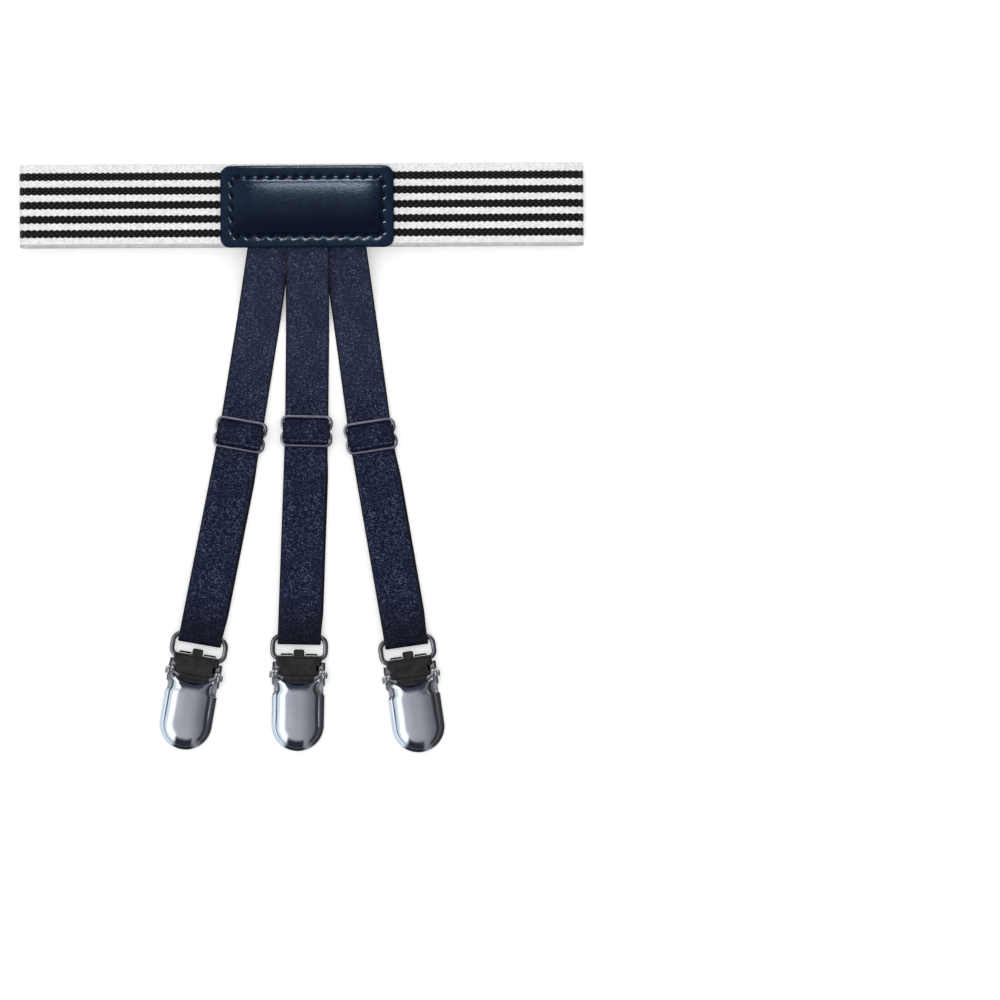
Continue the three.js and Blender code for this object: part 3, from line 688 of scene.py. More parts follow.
@dataclass(frozen=True)
class SatinWebbing:
    """Navy satin webbing: heathered yarns, fine cross ribs and plain dark selvages."""

    base: str = "#0c132b"
    ground: str = "#262d4c"
    fleck: str = "#5e6580"
    selvage: str = "#1c1d26"
    # Colour of the shade painted on the webbing near the ring.
    shade: str = "#0c0e15"
    half_width: float = 7.85
    selvage_width: float = 1.0
    slider_place: float = -73.9
    crease_reach: float = 1.4
    yarn_along: float = 0.36
    yarn_across: float = 0.42
    rib_pitch: float = 0.95
    fleck_scale: float = 3.7

    def material(self) -> bpy.types.Material:
        """Builds the webbing. Lengths along are from the fold over the ring. Shade is painted near the ring, and a
        lighter sheen on the upper strap.
        """
        made, n, shader = new_material("satin_webbing")
        place, u, v = n.cloth_mm()
        yarns = WEAVE.placed(n, place, Along=self.yarn_along, Across=self.yarn_across)
        ribs = WEAVE.placed(n, place, Along=self.rib_pitch, Across=40)
        blotch = n.noise(n.stretched(place, 0.6, 1, 1), 0.16, 2)
        speckle = n.cells(n.stretched(place, 1.15, 0.7, 1), self.fleck_scale).outputs["Color"]
        speckle = n.node("ShaderNodeSeparateColor", {0: speckle}).outputs[0]
        mixed = n.plus(n.times(yarns.outputs["Yarn"], 0.4), n.times(speckle, 0.6))
        light = n.between(mixed, 0.35, 0.9)
        liveliness = n.between(blotch, 0.35, 0.62, 0.4, 1)
        colour = n.mix(n.times(light, 0.9), tone(self.base), tone(self.ground))
        spark = n.times(n.between(mixed, 0.66, 0.86), liveliness)
        away = n.away(u, self.slider_place)
        crease = n.between(n.away(away, self.crease_reach), 0.15, 0.5, 1, 0)
        broken = n.times(crease, n.between(n.noise(place, 1.1, 2), 0.45, 0.6))
        spark = n.math("MAXIMUM", spark, broken)
        colour = n.mix(n.times(spark, 0.9), colour, tone(self.fleck))
        # Shade is painted on the webbing near its fold over the ring: it darkens towards the fold.
        painted_shade_by_ring = n.between(n.math("ABSOLUTE", u), 3.0, 20.0, 0.75, 0)
        colour = n.mix(painted_shade_by_ring, colour, tone(self.shade))
        # A lighter sheen is painted on the upper strap, in the fleck colour.
        painted_sheen_up_strap = n.between(n.math("ABSOLUTE", u), 80.0, 115.0, 0, 0.09)
        colour = n.mix(painted_sheen_up_strap, colour, tone(self.fleck))
        reach = n.math("ABSOLUTE", v)
        edge = n.between(reach, self.half_width - self.selvage_width, self.half_width - 0.35)
        colour = n.mix(edge, colour, tone(self.selvage))
        inside = n.math("SUBTRACT", 1.0, edge)
        relief = n.times(yarns.outputs["Relief"], n.times(inside, 0.6))
        relief = n.math("MULTIPLY_ADD", ribs.outputs["Relief"], 0.4, relief)
        relief = n.plus(relief, n.times(crease, -0.5))
        rough = n.between(mixed, 0.3, 0.9, 0.62, 0.38)
        n.surface(shader, colour, n.bump(relief, 0.00014, 0.8), rough, specular=0.12)
        return made


@dataclass(frozen=True)
class NavyLeather:
    """Smooth navy leather with a fine grain and a painted cut edge."""

    colour: str = "#122338"
    dark: str = "#0d1c30"
    # deep is the colour of the shade painted on the lower panel.
    deep: str = "#030f22"
    # edge is the dark edge paint; it is also painted into the needle holes as shade.
    edge: str = "#03060c"
    pitch: float = 0.55

    def material(self) -> bpy.types.Material:
        """Builds the leather. Attributes darken the needle holes with painted shade, the cut edge with its dark edge
        paint, and the lower part of the panel with painted shade."""
        made, n, shader = new_material("navy_leather")
        place = n.object_mm()
        grain = GRAIN.placed(n, place, Pitch=self.pitch)
        colour = n.mix(n.between(grain.outputs["Cloud"], 0.35, 0.65), tone(self.colour), tone(self.dark))
        # Shade is painted over the lower panel, in the deep colour.
        colour = n.mix(n.attribute("painted_lower_shade"), colour, tone(self.deep))
        # Needle holes are darkened in the edge colour as painted shade; the cut edge gets its real edge paint.
        dark = n.math("MAXIMUM", n.between(n.attribute("pit"), 0.1, 0.7), n.attribute("rim"))
        colour = n.mix(dark, colour, tone(self.edge))
        rough = n.math("MULTIPLY_ADD", grain.outputs["Relief"], 0.12, 0.17)
        rough = n.math("MAXIMUM", rough, n.times(dark, 0.7))
        n.surface(shader, colour, n.bump(grain.outputs["Relief"], 0.00007, 0.5), rough, specular=0.085)
        return made


@dataclass(frozen=True)
class Thread:
    """Waxed thread: dark, with a twist."""

    colour: str = "#03050a"
    # The lighter tone painted on the ply crests as a highlight.
    light: str = "#0c1220"

    def material(self) -> bpy.types.Material:
        """Builds the thread, whose plies are slanted waves over its length, their crests painted lighter as a
        highlight.
        """
        made, n, shader = new_material("waxed_thread")
        _, u, v = n.cloth_mm()
        ply = n.math("SINE", n.times(n.plus(u, v), 9.0))
        # Ply crests are painted lighter as a highlight.
        colour = n.mix(n.between(ply, -0.5, 1), tone(self.colour), tone(self.light))
        n.surface(shader, colour, n.bump(ply, 0.00005, 0.6), n.between(ply, -1, 1, 0.6, 0.45), specular=0.2)
        return made


@dataclass(frozen=True)
class PlatedMetal:
    """A plated metal with light signs of handling."""

    name: str
    colour: str
    dulled: str
    polish: float
    pitch: float = 1.0
    marks: float = 0.12
    waviness: float = 0.0
    slot_hole: bool = False
    # Near-black painted in the slot as its shadow; no hole is cut.
    hole: str = "#020203"
    hole_along: float = 3.4
    hole_across: float = 6.9

    def material(self) -> bpy.types.Material:
        """Builds the plating: smudges change colour and gloss, scratches are rougher."""
        made, n, shader = new_material(self.name)
        place = n.object_mm()
        marks = HANDLING.placed(n, place, Pitch=self.pitch)
        smudge, scratch = marks.outputs["Smudge"], marks.outputs["Scratch"]
        colour = n.mix(n.between(smudge, 0.35, 0.7), tone(self.colour), tone(self.dulled))
        rough = n.between(smudge, 0.3, 0.75, self.polish, self.polish * 1.5)
        rough = n.math("MULTIPLY_ADD", scratch, self.marks, rough)
        height = n.math("MULTIPLY_ADD", smudge, self.waviness, n.times(scratch, -2.5 * self.marks))
        # The slot is not cut: its inside is painted near-black as shadow.
        if self.slot_hole:
            _, u, v = n.cloth_mm()
            away_u = n.away(u, self.hole_along)
            away_v = n.away(v, self.hole_across)
            hole = n.times(n.between(away_u, 0.95, 1.1, 1, 0), n.between(away_v, 0.5, 0.62, 1, 0))
            colour = n.mix(hole, colour, tone(self.hole))
            rough = n.math("MAXIMUM", rough, hole)
        n.surface(shader, colour, n.bump(height, 0.00003, 0.5), rough, metallic=1.0)
        return made


def plated(*values: object, **settings: object) -> bpy.types.Material:
    """A field of Finishes that holds a plated metal."""
    return field(default_factory=lambda: PlatedMetal(*values, **settings).material())


@dataclass(frozen=True)
class Finishes:
    """Every material of the part, made once."""

    band: bpy.types.Material = field(default_factory=lambda: StripedElastic().material())
    strap: bpy.types.Material = field(default_factory=lambda: SatinWebbing().material())
    leather: bpy.types.Material = field(default_factory=lambda: NavyLeather().material())
    thread: bpy.types.Material = field(default_factory=lambda: Thread().material())
    slider: bpy.types.Material = plated("slider_plating", "#cdcddd", "#b2b2c6", 0.16)
    ring: bpy.types.Material = plated("ring_nickel", "#a8a8ac", "#88888c", 0.07)
    plate: bpy.types.Material = plated("stamped_steel", "#e9e9ea", "#cdcdce", 0.14)
    spring: bpy.types.Material = plated("blackened_spring", "#545454", "#464646", 0.28, slot_hole=True)
    lever: bpy.types.Material = plated("polished_nickel", "#f2f4f8", "#e9ebf2", 0.07, 2.2, 0.03, 0.5)


@dataclass
class ThighBand:
    """The striped elastic loop, pressed flat."""

    length: float = 203
    width: float = 30
    wall: float = 1.5
    open_height: float = 5
    step: float = 0.7
    scallop: float = 0.07
    scallop_pitch: float = 2.05

    def skin(self) -> Skin:
        """Carries the cloth's section round a stadium: two runs and two half circles."""
        top = 2 * self.wall + self.open_height
        radius = (top - self.wall) / 2
        reach = self.length / 2 - top / 2
        runs = round(2 * reach / self.step)
        x = np.linspace(-reach, reach, runs + 1)
        low = np.stack([x, np.full(len(x), self.wall / 2)], -1)
        high = np.stack([x[::-1], np.full(len(x), top - self.wall / 2)], -1)
        right = arc(reach, top / 2, radius, -90, 90, 14)[1:-1]
        left = arc(-reach, top / 2, radius, 90, 270, 14)[1:-1]
        path = np.concatenate([low, right, high, left])
        wave = np.sin(along(path) * 2 * np.pi / self.scallop_pitch)
        half = self.width / 2 - self.scallop * (1 - wave) / 2
        shape = StripShape(self.wall, 0.5, flat=44, edge=6)
        x, across, z, length = shape.sheet(path, half, loop=True)
        uv = wrapped(np.stack([length, across], -1))
        last = uv[:1].copy()
        last[..., 0] = uv[-1, 0, 0] + self.step
        return Skin(np.stack([x, across, z], -1), np.concatenate([uv, last]), Ends.LOOP)

    def build(self, finishes: Finishes) -> Piece:
        """Makes the band."""
        band = make_piece("elastic_thigh_band", [self.skin()], finishes.band)
        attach(band, "harness")
        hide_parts("thigh_band")
        return band


@dataclass
class LeatherPatch:
    """The leather patch: a padded panel inside a line of saddle stitches."""

    width: float = 62.4
    height: float = 29.4
    centre_x: float = 2.1
    centre_y: float = -0.6
    corner: float = 3.6
    leather: float = 1.3
    padding: float = 1.2
    margin: float = 4.0
    underside: float = 8.3
    rise: float = 2.9
    pitch: float = 4.18
    stitch_length: float = 2.7
    stitch_slant: float = 24.0
    thread_radius: float = 0.43
    pit_depth: float = 0.45
    pit_width: float = 0.62
    groove_depth: float = 0.14
    groove_width: float = 0.8
    puff_height: float = 0.1
    edge_round: float = 0.6
    edge_paint: float = 0.35
    rows: int = 118
    columns: int = 240

    def stitches(self) -> tuple[Array, Array]:
        """Places of the stitches: equal steps along each side of the stitched rectangle.

        Returns:
            Middles, stitches x 2, and the direction of each in degrees.
        """
        x, y = self.width / 2 - self.margin, self.height / 2 - self.margin
        middles, leans = [], []
        for reach, off, lean in ((x, y, 0), (y, x, 90)):
            count = round(2 * reach / self.pitch)
            step = (np.arange(count) + 0.5) * 2 * reach / count - reach
            for side in (-1, 1):
                line = np.stack([step, np.full(count, side * off)], -1)
                middles.append(line if lean == 0 else line[:, ::-1])
                leans.append(np.full(count, lean + self.stitch_slant))
        return np.concatenate(middles), np.concatenate(leans)

    def low(self, x: Array) -> Array:
        """Underside: it drapes over the strap ends by one less the share to the fourth."""
        return self.underside + self.rise * (1 - (x / (self.width / 2)) ** 4)

    def top(self, x: Array, y: Array) -> tuple[Array, Array]:
        """Height of the leather's face, and how deep in a needle hole each place is.

        The panel is crowned by the product of one less a power of the share each way. A
        groove runs along the stitched rectangle, and each stitch presses an oval pit, a
        bell curve along and across its slant.
        """
        in_x, in_y = self.width / 2 - self.margin, self.height / 2 - self.margin
        across_x = np.maximum(0, 1 - np.abs(x / in_x) ** 6)
        across_y = np.maximum(0, 1 - np.abs(y / in_y) ** 2.5)
        crown = self.padding * across_x * across_y
        box = np.maximum(np.abs(x) - in_x, np.abs(y) - in_y)
        groove = self.groove_depth * np.exp(-((box / self.groove_width) ** 2))
        middles, leans = self.stitches()
        away_x, away_y = x[..., None] - middles[:, 0], y[..., None] - middles[:, 1]
        c, s = turned(leans)
        length, side = away_x * c + away_y * s, away_y * c - away_x * s
        pit = np.exp(-((length / (self.stitch_length / 2)) ** 4) - (side / self.pit_width) ** 2).max(-1)
        puff = self.puff_height * np.exp(-(((box + 1.3) / 0.7) ** 2)) * (1 - pit)
        height = self.low(x) + self.leather + crown + puff - groove - self.pit_depth * pit
        return height, pit

    def skin(self) -> tuple[Skin, Array, Array]:
        """Sections across the patch, each its top edge to edge and its underside back.

        Near the outline the top is rounded over by a quarter ellipse.

        Returns:
            The surface, its pit values and its cut-edge values.
        """
        half_w, half_h = self.width / 2, self.height / 2
        turn = np.linspace(0, np.pi / 2, 9)
        ends = half_h - self.corner * (1 - np.sin(turn))
        straight = half_h - self.corner
        middle = np.linspace(-straight, straight, self.rows - 16)[1:-1]
        y = np.concatenate([-ends[::-1], middle, ends])
        past = np.maximum(0, np.abs(y) - straight) / self.corner
        half = half_w - self.corner * (1 - np.sqrt(np.maximum(0, 1 - past**2)))
        share = np.linspace(-1, 1, self.columns + 1)
        share = share * (1 + 0.02 * (1 - share**2))
        x = half[:, None] * share
        y = np.broadcast_to(y[:, None], x.shape)
        top, pit = self.top(x, y)
        low = self.low(x)
        corner_x = np.maximum(0, np.abs(x) - (half_w - self.corner))
        corner_y = np.maximum(0, np.abs(y) - straight)
        away = np.maximum(np.abs(x) - half_w, np.abs(y) - half_h)
        round_away = np.hypot(corner_x, corner_y) - self.corner
        inside = -np.where((corner_x > 0) & (corner_y > 0), round_away, away)
        near = np.clip(inside, 0, self.edge_round) / self.edge_round
        shoulder = np.sqrt(np.clip(1 - (1 - near) ** 2, 0, 1))
        top = low + (top - low) * (0.35 + 0.65 * shoulder)
        rim = 1 - smooth(inside / self.edge_paint)
        plan = np.stack([self.centre_x + x, self.centre_y + y], -1)
        up = np.concatenate([plan, top[..., None]], -1)
        down = np.concatenate([plan, low[..., None]], -1)[:, ::-1]
        uv = wrapped(np.concatenate([plan, plan[:, ::-1]], 1))
        skin = Skin(np.concatenate([up, down], 1), uv, Ends.PAIR)
        return skin, np.concatenate([pit, pit * 0], 1), np.concatenate([rim, rim[:, ::-1]], 1)

    def painted_lower_shade(self, points: Array) -> Array:
        """How much shade is painted on the panel: more towards its lower edge and its right, none outside."""
        x, y = points[..., 0] - self.centre_x, points[..., 1] - self.centre_y
        in_x, in_y = self.width / 2 - self.margin, self.height / 2 - self.margin
        box = np.maximum(np.abs(x) - in_x, np.abs(y) - in_y)
        return smooth(-box / 1.2) * smooth((0.45 * in_y - y) / (1.1 * in_y) + 0.16 * x / in_x)

    def thread(self, middle: Array, lean: float) -> Skin:
        """One stitch: a short round thread, arched, thin at its two ends."""
        turn = np.linspace(-np.pi / 2, np.pi / 2, 9)
        length = np.sin(turn) * self.stitch_length * 0.46
        radius = self.thread_radius * np.cos(turn) ** 0.6 + 0.02
        around = np.linspace(0, 2 * np.pi, 10, endpoint=False)
        side = radius[:, None] * np.cos(around)
        c, s = turned(lean)
        x = middle[0] + length[:, None] * c - side * s
        y = middle[1] + length[:, None] * s + side * c
        top, _ = self.top(middle[:1], middle[1:])
        z = top + 0.14 + 0.1 * np.cos(turn)[:, None] + radius[:, None] * np.sin(around)
        points = np.stack([self.centre_x + x, self.centre_y + y, z], -1)
        uv = np.stack(np.broadcast_arrays(length[:, None], np.linspace(0, 2, 11)), -1)
        return Skin(points, uv)

    def build(self, finishes: Finishes) -> tuple[Piece, Piece]:
        """Makes the leather and its stitching."""
        skin, pit, rim = self.skin()
        patch = make_piece("stitched_leather_patch", [skin], finishes.leather, sharp=70)
        # Besides the pits and the cut edge, this stores the shade painted on the lower panel.
        for name, values in (("pit", pit), ("rim", rim), ("painted_lower_shade", self.painted_lower_shade(skin.points))):
            layer = patch.data.attributes.new(name, "FLOAT", "POINT")
            layer.data.foreach_set("value", values.astype(np.float32).ravel())
        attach(patch, "harness")
        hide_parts("leather_patch")
        middles, leans = self.stitches()
        threads = [self.thread(m, float(lean)) for m, lean in zip(middles, leans)]
        stitching = make_piece("patch_stitching", threads, finishes.thread)
        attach(stitching, "harness")
        return patch, stitching


@dataclass(frozen=True)
class Lay:
    """How one stay lies: its seam place, its length to the slider and its leans."""

    name: str
    seam: float
    upper: float
    upper_lean: float
    lower_lean: float
    clip_lean: float
    layer: int


LAYS = (
    Lay("left", -0.218, 1.0, -9.3, -11.4, -10.1, 0),
    Lay("centre", 0.003, 0.97, -0.8, -2.3, -1.4, 1),
    Lay("right", 0.215, 1.007, 7.5, 9.5, 8.0, 0),
)


@dataclass
class Stay:
    """One strap with its slider and ring."""

    lay: Lay
    strap_width: float = 15.7
    strap_thickness: float = 1.0
    tuck: float = 11
    drape_radius: float = 14
    drape_run: float = 28
    upper_length: float = 68
    lower_length: float = 73.9
    hook_width: float = 13.6
    hook_taper: float = 5
    hook_sweep: float = 200
    return_drift: float = 0.5
    slider_spread: float = 0.7
    spread_run: float = 3.2
    layer_rise: float = 1.6
    layer_run: float = 5
    rib_depth: float = 0.035
    rib_pitch: float = 1.05
    gap: float = 0.3
    slider_wire: float = 1.2
    slider_height: float = 11.6
    slider_width: float = 18.8
    slider_corner: float = 2.1
    slider_pinch: float = 1.1
    slider_z: float = 3.2
    ring_wire: float = 1.7
    ring_width: float = 20.8
    ring_height: float = 9.8
    ring_top_corner: float = 3.1
    ring_slack: float = 0.9
    ring_bottom_corner: float = 2.6
    ring_z: float = 2.15
    band_top: float = 8.0
    seam_x: float = 2.1
    seam_y: float = -15.3
    patch_width: float = 62.4
    slider: Array = field(init=False)
    ring: Array = field(init=False)
    seam: Array = field(init=False)

    def __post_init__(self) -> None:
        """Finds where the seam, the slider and the ring lie in plan."""
        self.upper = self.lay.upper * self.upper_length
        self.seam = np.array([self.seam_x + self.lay.seam * self.patch_width, self.seam_y])
        self.slider = self.seam + self.upper * self.run(self.lay.upper_lean)
        self.ring = self.slider + self.lower_length * self.run(self.lay.lower_lean)

    @staticmethod
    def run(lean: float) -> Array:
        """A step of one down the strap, in plan."""
        angle = math.radians(lean)
        return np.array([math.sin(angle), -math.cos(angle)])

    def path(self) -> tuple[Array, Array]:
        """Side view of the strap's middle: from under the patch down to the surface,
        through the slider, round the ring's bar and back round the slider's middle bar.

        Returns:
            Distance and height of each point, and 1 where it is on its way back.
        """
        half = self.strap_thickness / 2
        start = self.band_top + self.gap + half + self.lay.layer * self.layer_rise
        drape = 1 + self.lay.layer * self.layer_run
        radius, bar = self.drape_radius, (self.slider_height - self.slider_wire) / 2
        under = self.slider_wire / 2 + self.gap + half
        over = under + self.strap_thickness + self.gap
        slider, ring = self.upper, self.upper + self.lower_length
        path = taut_path([
            Bar(-self.tuck, start),
            Bar(drape, start - radius, radius, -1),
            Bar(drape + self.drape_run, half + radius, radius, 1),
            Bar(slider - bar, self.slider_z, under, 1),
            Bar(slider, self.slider_z, over, -1),
            Bar(slider + bar, self.slider_z, under, 1),
            Bar(ring + self.ring_slack, self.ring_z, self.ring_wire / 2 + self.gap + half, -1),
            Bar(slider + bar, half + under, under, -1),
            Bar(slider, self.slider_z, under, -1, self.hook_sweep),
        ])
        back = np.arange(len(path)) > path[:, 0].argmax()
        return path, back.astype(float)

    def strap_skin(self) -> Skin:
        """The strap: its section carried along the path, and turned in plan by the leans
        above and below the slider and at the ring, with smooth changes between them."""
        lay = self.lay
        path, back = self.path()
        past_line = path[:, 0] - self.upper
        hook = back * (1 - smooth(past_line / self.hook_taper))
        half = (self.strap_width + (self.hook_width - self.strap_width) * hook) / 2
        half = half - self.rib_depth * (1 + np.sin(along(path) * 2 * np.pi / self.rib_pitch))
        half = half + (1 - back) * self.slider_spread * np.exp(-((past_line / self.spread_run) ** 2))
        shape = StripShape(self.strap_thickness, 0.42, flat=20, edge=5)
        s, across, z, length = shape.sheet(path, half)
        past = s - self.upper
        ring = self.upper + self.lower_length
        lean = lay.upper_lean + (lay.lower_lean - lay.upper_lean) * smooth(past / self.slider_height + 0.5)
        lean = lean + (lay.clip_lean - lay.lower_lean) * smooth((s - ring) / self.ring_height + 1)
        drift = smooth((ring - s) / self.ring_height) * smooth(past / self.slider_height - 0.5)
        side = across + back[:, None] * self.return_drift * drift
        c, sn = turned(lean)
        upper, lower = self.run(lay.upper_lean), self.run(lay.lower_lean)
        x = np.where(past < 0, self.seam[0] + upper[0] * s, self.slider[0] + lower[0] * past) + side * c
        y = np.where(past < 0, self.seam[1] + upper[1] * s, self.slider[1] + lower[1] * past) + side * sn
        fold = along(path)[path[:, 0].argmax()]
        uv = wrapped(np.stack([length - fold, across], -1))
        return Skin(np.stack([x, y, z], -1), uv)

    def slider_outline(self) -> Array:
        """The slider's wire: straight bars, round lobes and a pinch by a bell curve."""
        reach = (self.slider_width - self.slider_wire) / 2
        lobe = (self.slider_height - self.slider_wire) / 2 - self.slider_corner
        upper = arc(reach - self.slider_corner, lobe, self.slider_corner, 90, 0, 12)
        y = np.linspace(lobe, -lobe, 41)[1:-1]
        pinched = np.stack([reach - self.slider_pinch * np.exp(-((y / 1.1) ** 2)), y], -1)
        lower = arc(reach - self.slider_corner, -lobe, self.slider_corner, 0, -90, 12)
        side = np.concatenate([upper, pinched, lower])
        return np.concatenate([side, -side])

    def ring_outline(self) -> Array:
        """The ring's wire, hanging from its top bar at y = 0."""
        reach, drop = (self.ring_width - self.ring_wire) / 2, self.ring_height - self.ring_wire
        top, bottom = self.ring_top_corner, self.ring_bottom_corner
        return np.concatenate([
            arc(reach - top, -top, top, 90, 0, 12),
            arc(reach - bottom, bottom - drop, bottom, 0, -90, 12),
            arc(bottom - reach, bottom - drop, bottom, -90, -180, 12),
            arc(top - reach, -top, top, 180, 90, 12),
        ])

    def placed(self, skin: Skin, origin: Array, lean: float, height: float = 0) -> Skin:
        """Turns a flat-lying surface by a lean and moves it to a point in plan."""
        c, s = turned(lean)
        x, y, z = np.moveaxis(skin.points, -1, 0)
        points = np.stack([origin[0] + x * c - y * s, origin[1] + x * s + y * c, z + height], -1)
        return Skin(points, skin.uv, skin.ends)

    def build(self, finishes: Finishes) -> None:
        """Makes the strap, the slider and the ring."""
        name, lay = self.lay.name, self.lay
        strap = make_piece(f"webbing_strap_{name}", [self.strap_skin()], finishes.strap)
        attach(strap, "harness")
        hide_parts(f"strap_{name}")

        loop = wire(evened(self.slider_outline(), 200), self.slider_wire)
        end = (self.slider_width - self.slider_wire) / 2 - self.slider_pinch
        radius = self.slider_wire / 2
        bar = spun(np.array([[radius, x] for x in np.linspace(-end, end, 24)]), 16)
        turn = (lay.upper_lean + lay.lower_lean) / 2
        parts = [self.placed(skin, self.slider, turn, self.slider_z) for skin in (loop, bar)]
        slider = make_piece(f"wire_slider_{name}", parts, finishes.slider)
        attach(slider, "harness")
        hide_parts(f"slider_{name}")

        loop = wire(evened(self.ring_outline(), 200), self.ring_wire, 20)
        parts = [self.placed(loop, self.ring, lay.clip_lean, self.ring_z)]
        ring = make_piece(f"wire_ring_{name}", parts, finishes.ring)
        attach(ring, "harness")
        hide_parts(f"ring_{name}")


@dataclass
class Clip:
    """One mitten-shaped clip. Distances run from the ring's lower bar to the tip."""

    stay: Stay
    plate: float = 0.8
    gap: float = 0.3
    barrel_sweep: float = 262
    barrel_clearance: float = 0.2
    plate_start: float = 1.3
    jaw_width: float = 17.8
    ear_spacing: float = 19
    ear_front: float = 9.5
    ear_top: float = 2.4
    spring_reach: float = 1.0
    spring_step: float = 2.6
    spring_neck_end: float = 6.1
    spring_bend: float = 9
    spring_end: float = 23
    spring_z: float = 4.7
    spring_width: float = 16.5
    spring_neck: float = 14.6
    spring_nose_inset: float = 1.8
    line_places: tuple[float, float] = (5.9, 7.5)
    line_width: float = 0.16
    line_depth: float = 0.16
    tongue_width: float = 3.9
    tongue_reach: float = 3.4
    barrel_width: float = 13.3
    pin_distance: float = 5.8
    pin_height: float = 5
    pin_diameter: float = 1.4
    head_diameter: float = 2.4
    head_length: float = 0.7
    cheek_radius: float = 2.3
    cheek_outer: float = 8.4
    lever_tip: float = 33.3
    lever_width: float = 18.8
    lever_crown: float = 8
    lever_wall: float = 0.8
    crown_place: float = 17
    crown_drop: float = 0.12
    shoulder_start: float = 10.897
    shoulder_run: float = 2.4
    neck_pinch: float = 0.8
    neck_run: float = 1.6
    smile_middle: float = 9.6
    smile_depth: float = 3.2
    rim_z: float = 1.1
    lip_width: float = 1.2
    lip_height: float = 0.85
    curl: float = 0.42
    curl_run: float = 2.5
    arch: float = 0.47
    wall_place: float = 0.86
    draft: float = 0.03

    def hung(self, skins: list[Skin]) -> list[Skin]:
        """Places surfaces that are measured from the ring's lower bar."""
        drop = self.stay.ring_height - self.stay.ring_wire
        lean = self.stay.lay.clip_lean
        foot = self.stay.ring + drop * Stay.run(lean)
        return [self.stay.placed(skin, foot, lean) for skin in skins]

    def strip(self, path: Array, half: Array, thickness: float, middle: float = 0, rounding: float = 0.2) -> Skin:
        """A metal strip along a side-view path, its middle that far across the clip."""
        s, across, z, _ = StripShape(thickness, rounding, 24, 4).sheet(path, half)
        uv = wrapped(np.stack([np.broadcast_to(s, across.shape), across], -1))
        return Skin(np.stack([across + middle, -s, z], -1), uv)

    def jaw_outline(self) -> Array:
        """Plan of the back plate: square at the ears, narrower and round at its jaw."""
        half, wide = self.jaw_width / 2, self.ear_spacing / 2
        centre = self.lever_tip - self.lever_width / 2
        shoulder = -self.ear_front - (wide - half)
        tip = arc(0, -centre, half, 180, 360, 48)
        corners = [[-wide, -self.plate_start], [-wide, -self.ear_front], [-half, shoulder]]
        others = [[half, shoulder], [wide, -self.ear_front], [wide, -self.plate_start]]
        return evened(np.concatenate([corners, tip, others]), 220)

    def ear_outline(self) -> Array:
        """Side of an ear: a broad foot under a round head about the pin."""
        top = arc(self.pin_distance, self.pin_height, self.ear_top, -20, 200, 32)
        foot = [[self.plate_start, self.plate], [self.plate_start, 0.05], [self.ear_front, 0.05]]
        return evened(np.concatenate([top, foot, [[self.ear_front, self.plate]]]), 120)

    def cheek_outline(self) -> Array:
        """Side of a lever's cheek: a half circle about the pin, joined to the dome."""
        front = self.pin_distance + self.cheek_radius
        back = arc(self.pin_distance, self.pin_height, self.cheek_radius, 90, 270, 32)
        rim = [[self.smile_middle - self.smile_depth, self.rim_z], [front, self.rim_z]]
        return evened(np.concatenate([[[front, self.pin_height]], back, rim]), 120)

    def standing(self, outline: Array, side: int, inner: float, thickness: float) -> Skin:
        """A standing plate with the pin's hole, on one side of the clip."""
        hole = self.pin_diameter / 2 + self.gap
        centre = (self.pin_distance, self.pin_height)
        flat = Plate(outline, thickness, 0.18, centre, hole).skin()
        return stood_up(flat, inner if side > 0 else -inner - thickness)

    def back_plate_skins(self) -> list[Skin]:
        """The jaw, two ears and two barrels rolled round the ring's lower bar."""
        centre = (0, -self.lever_tip / 2)
        skins = [Plate(self.jaw_outline(), self.plate, 0.22, centre, 0, 14).skin(relief=0.28)]
        outline = self.ear_outline()
        roll = self.stay.ring_wire / 2 + self.barrel_clearance + self.plate / 2
        start = Bar(self.plate_start + 2.4, self.plate / 2)
        path = taut_path([start, Bar(0, self.stay.ring_z, roll, -1, self.barrel_sweep)], 0.3)
        inner = self.tongue_width / 2 + self.gap
        half = (self.barrel_width / 2 - inner) / 2
        for side in (-1, 1):
            skins.append(self.standing(outline, side, self.ear_spacing / 2 - self.plate, self.plate))
            skins.append(self.strip(path, np.full(len(path), half), self.plate, side * (inner + half)))
        return skins

    def spring_skins(self) -> list[Skin]:
        """The spring plate: level over the barrels, then down to its nose, with a broad
        rear, a neck between the cheeks, two pressed lines, and a tongue."""
        nose = self.rim_z + self.plate / 2 + self.gap
        start = -self.spring_reach
        bends = [Bar(start, self.spring_z), Bar(self.spring_bend, self.spring_z), Bar(self.spring_end, nose)]
        path = taut_path(bends, 0.16)
        s = path[:, 0]
        first, second = (np.exp(-(((s - place) / self.line_width) ** 2)) for place in self.line_places)
        lines = first + 0.8 * second
        rise = 0.34 * smooth((s - start) / 0.9) - 0.12 - 0.22 * smooth((s - 3.2) / 1.6)
        path[:, 1] += rise - self.line_depth * lines
        neck, run = self.spring_neck / 2, self.spring_neck / 2 - self.spring_nose_inset
        half = self.spring_width / 2 - (self.spring_width / 2 - neck) * smooth((s - self.spring_step + 0.3) / 0.5)
        half = half - (neck - run) * smooth((s - self.spring_neck_end + 0.4) / 0.8)
        half = half - 0.5 * (1 - smooth((s - start) / 0.5)) ** 2
        plate = self.strip(path, half, self.plate)
        path = taut_path([Bar(-self.tongue_reach, self.spring_z), Bar(0.5, self.spring_z)], 0.15)
        short = 1 - np.clip((path[:, 0] + self.tongue_reach) / 0.8, 0, 1)
        tongue = self.tongue_width / 2 - 0.6 * (1 - np.sqrt(1 - short**2))
        return [plate, self.strip(path, tongue, self.plate - 0.02)]

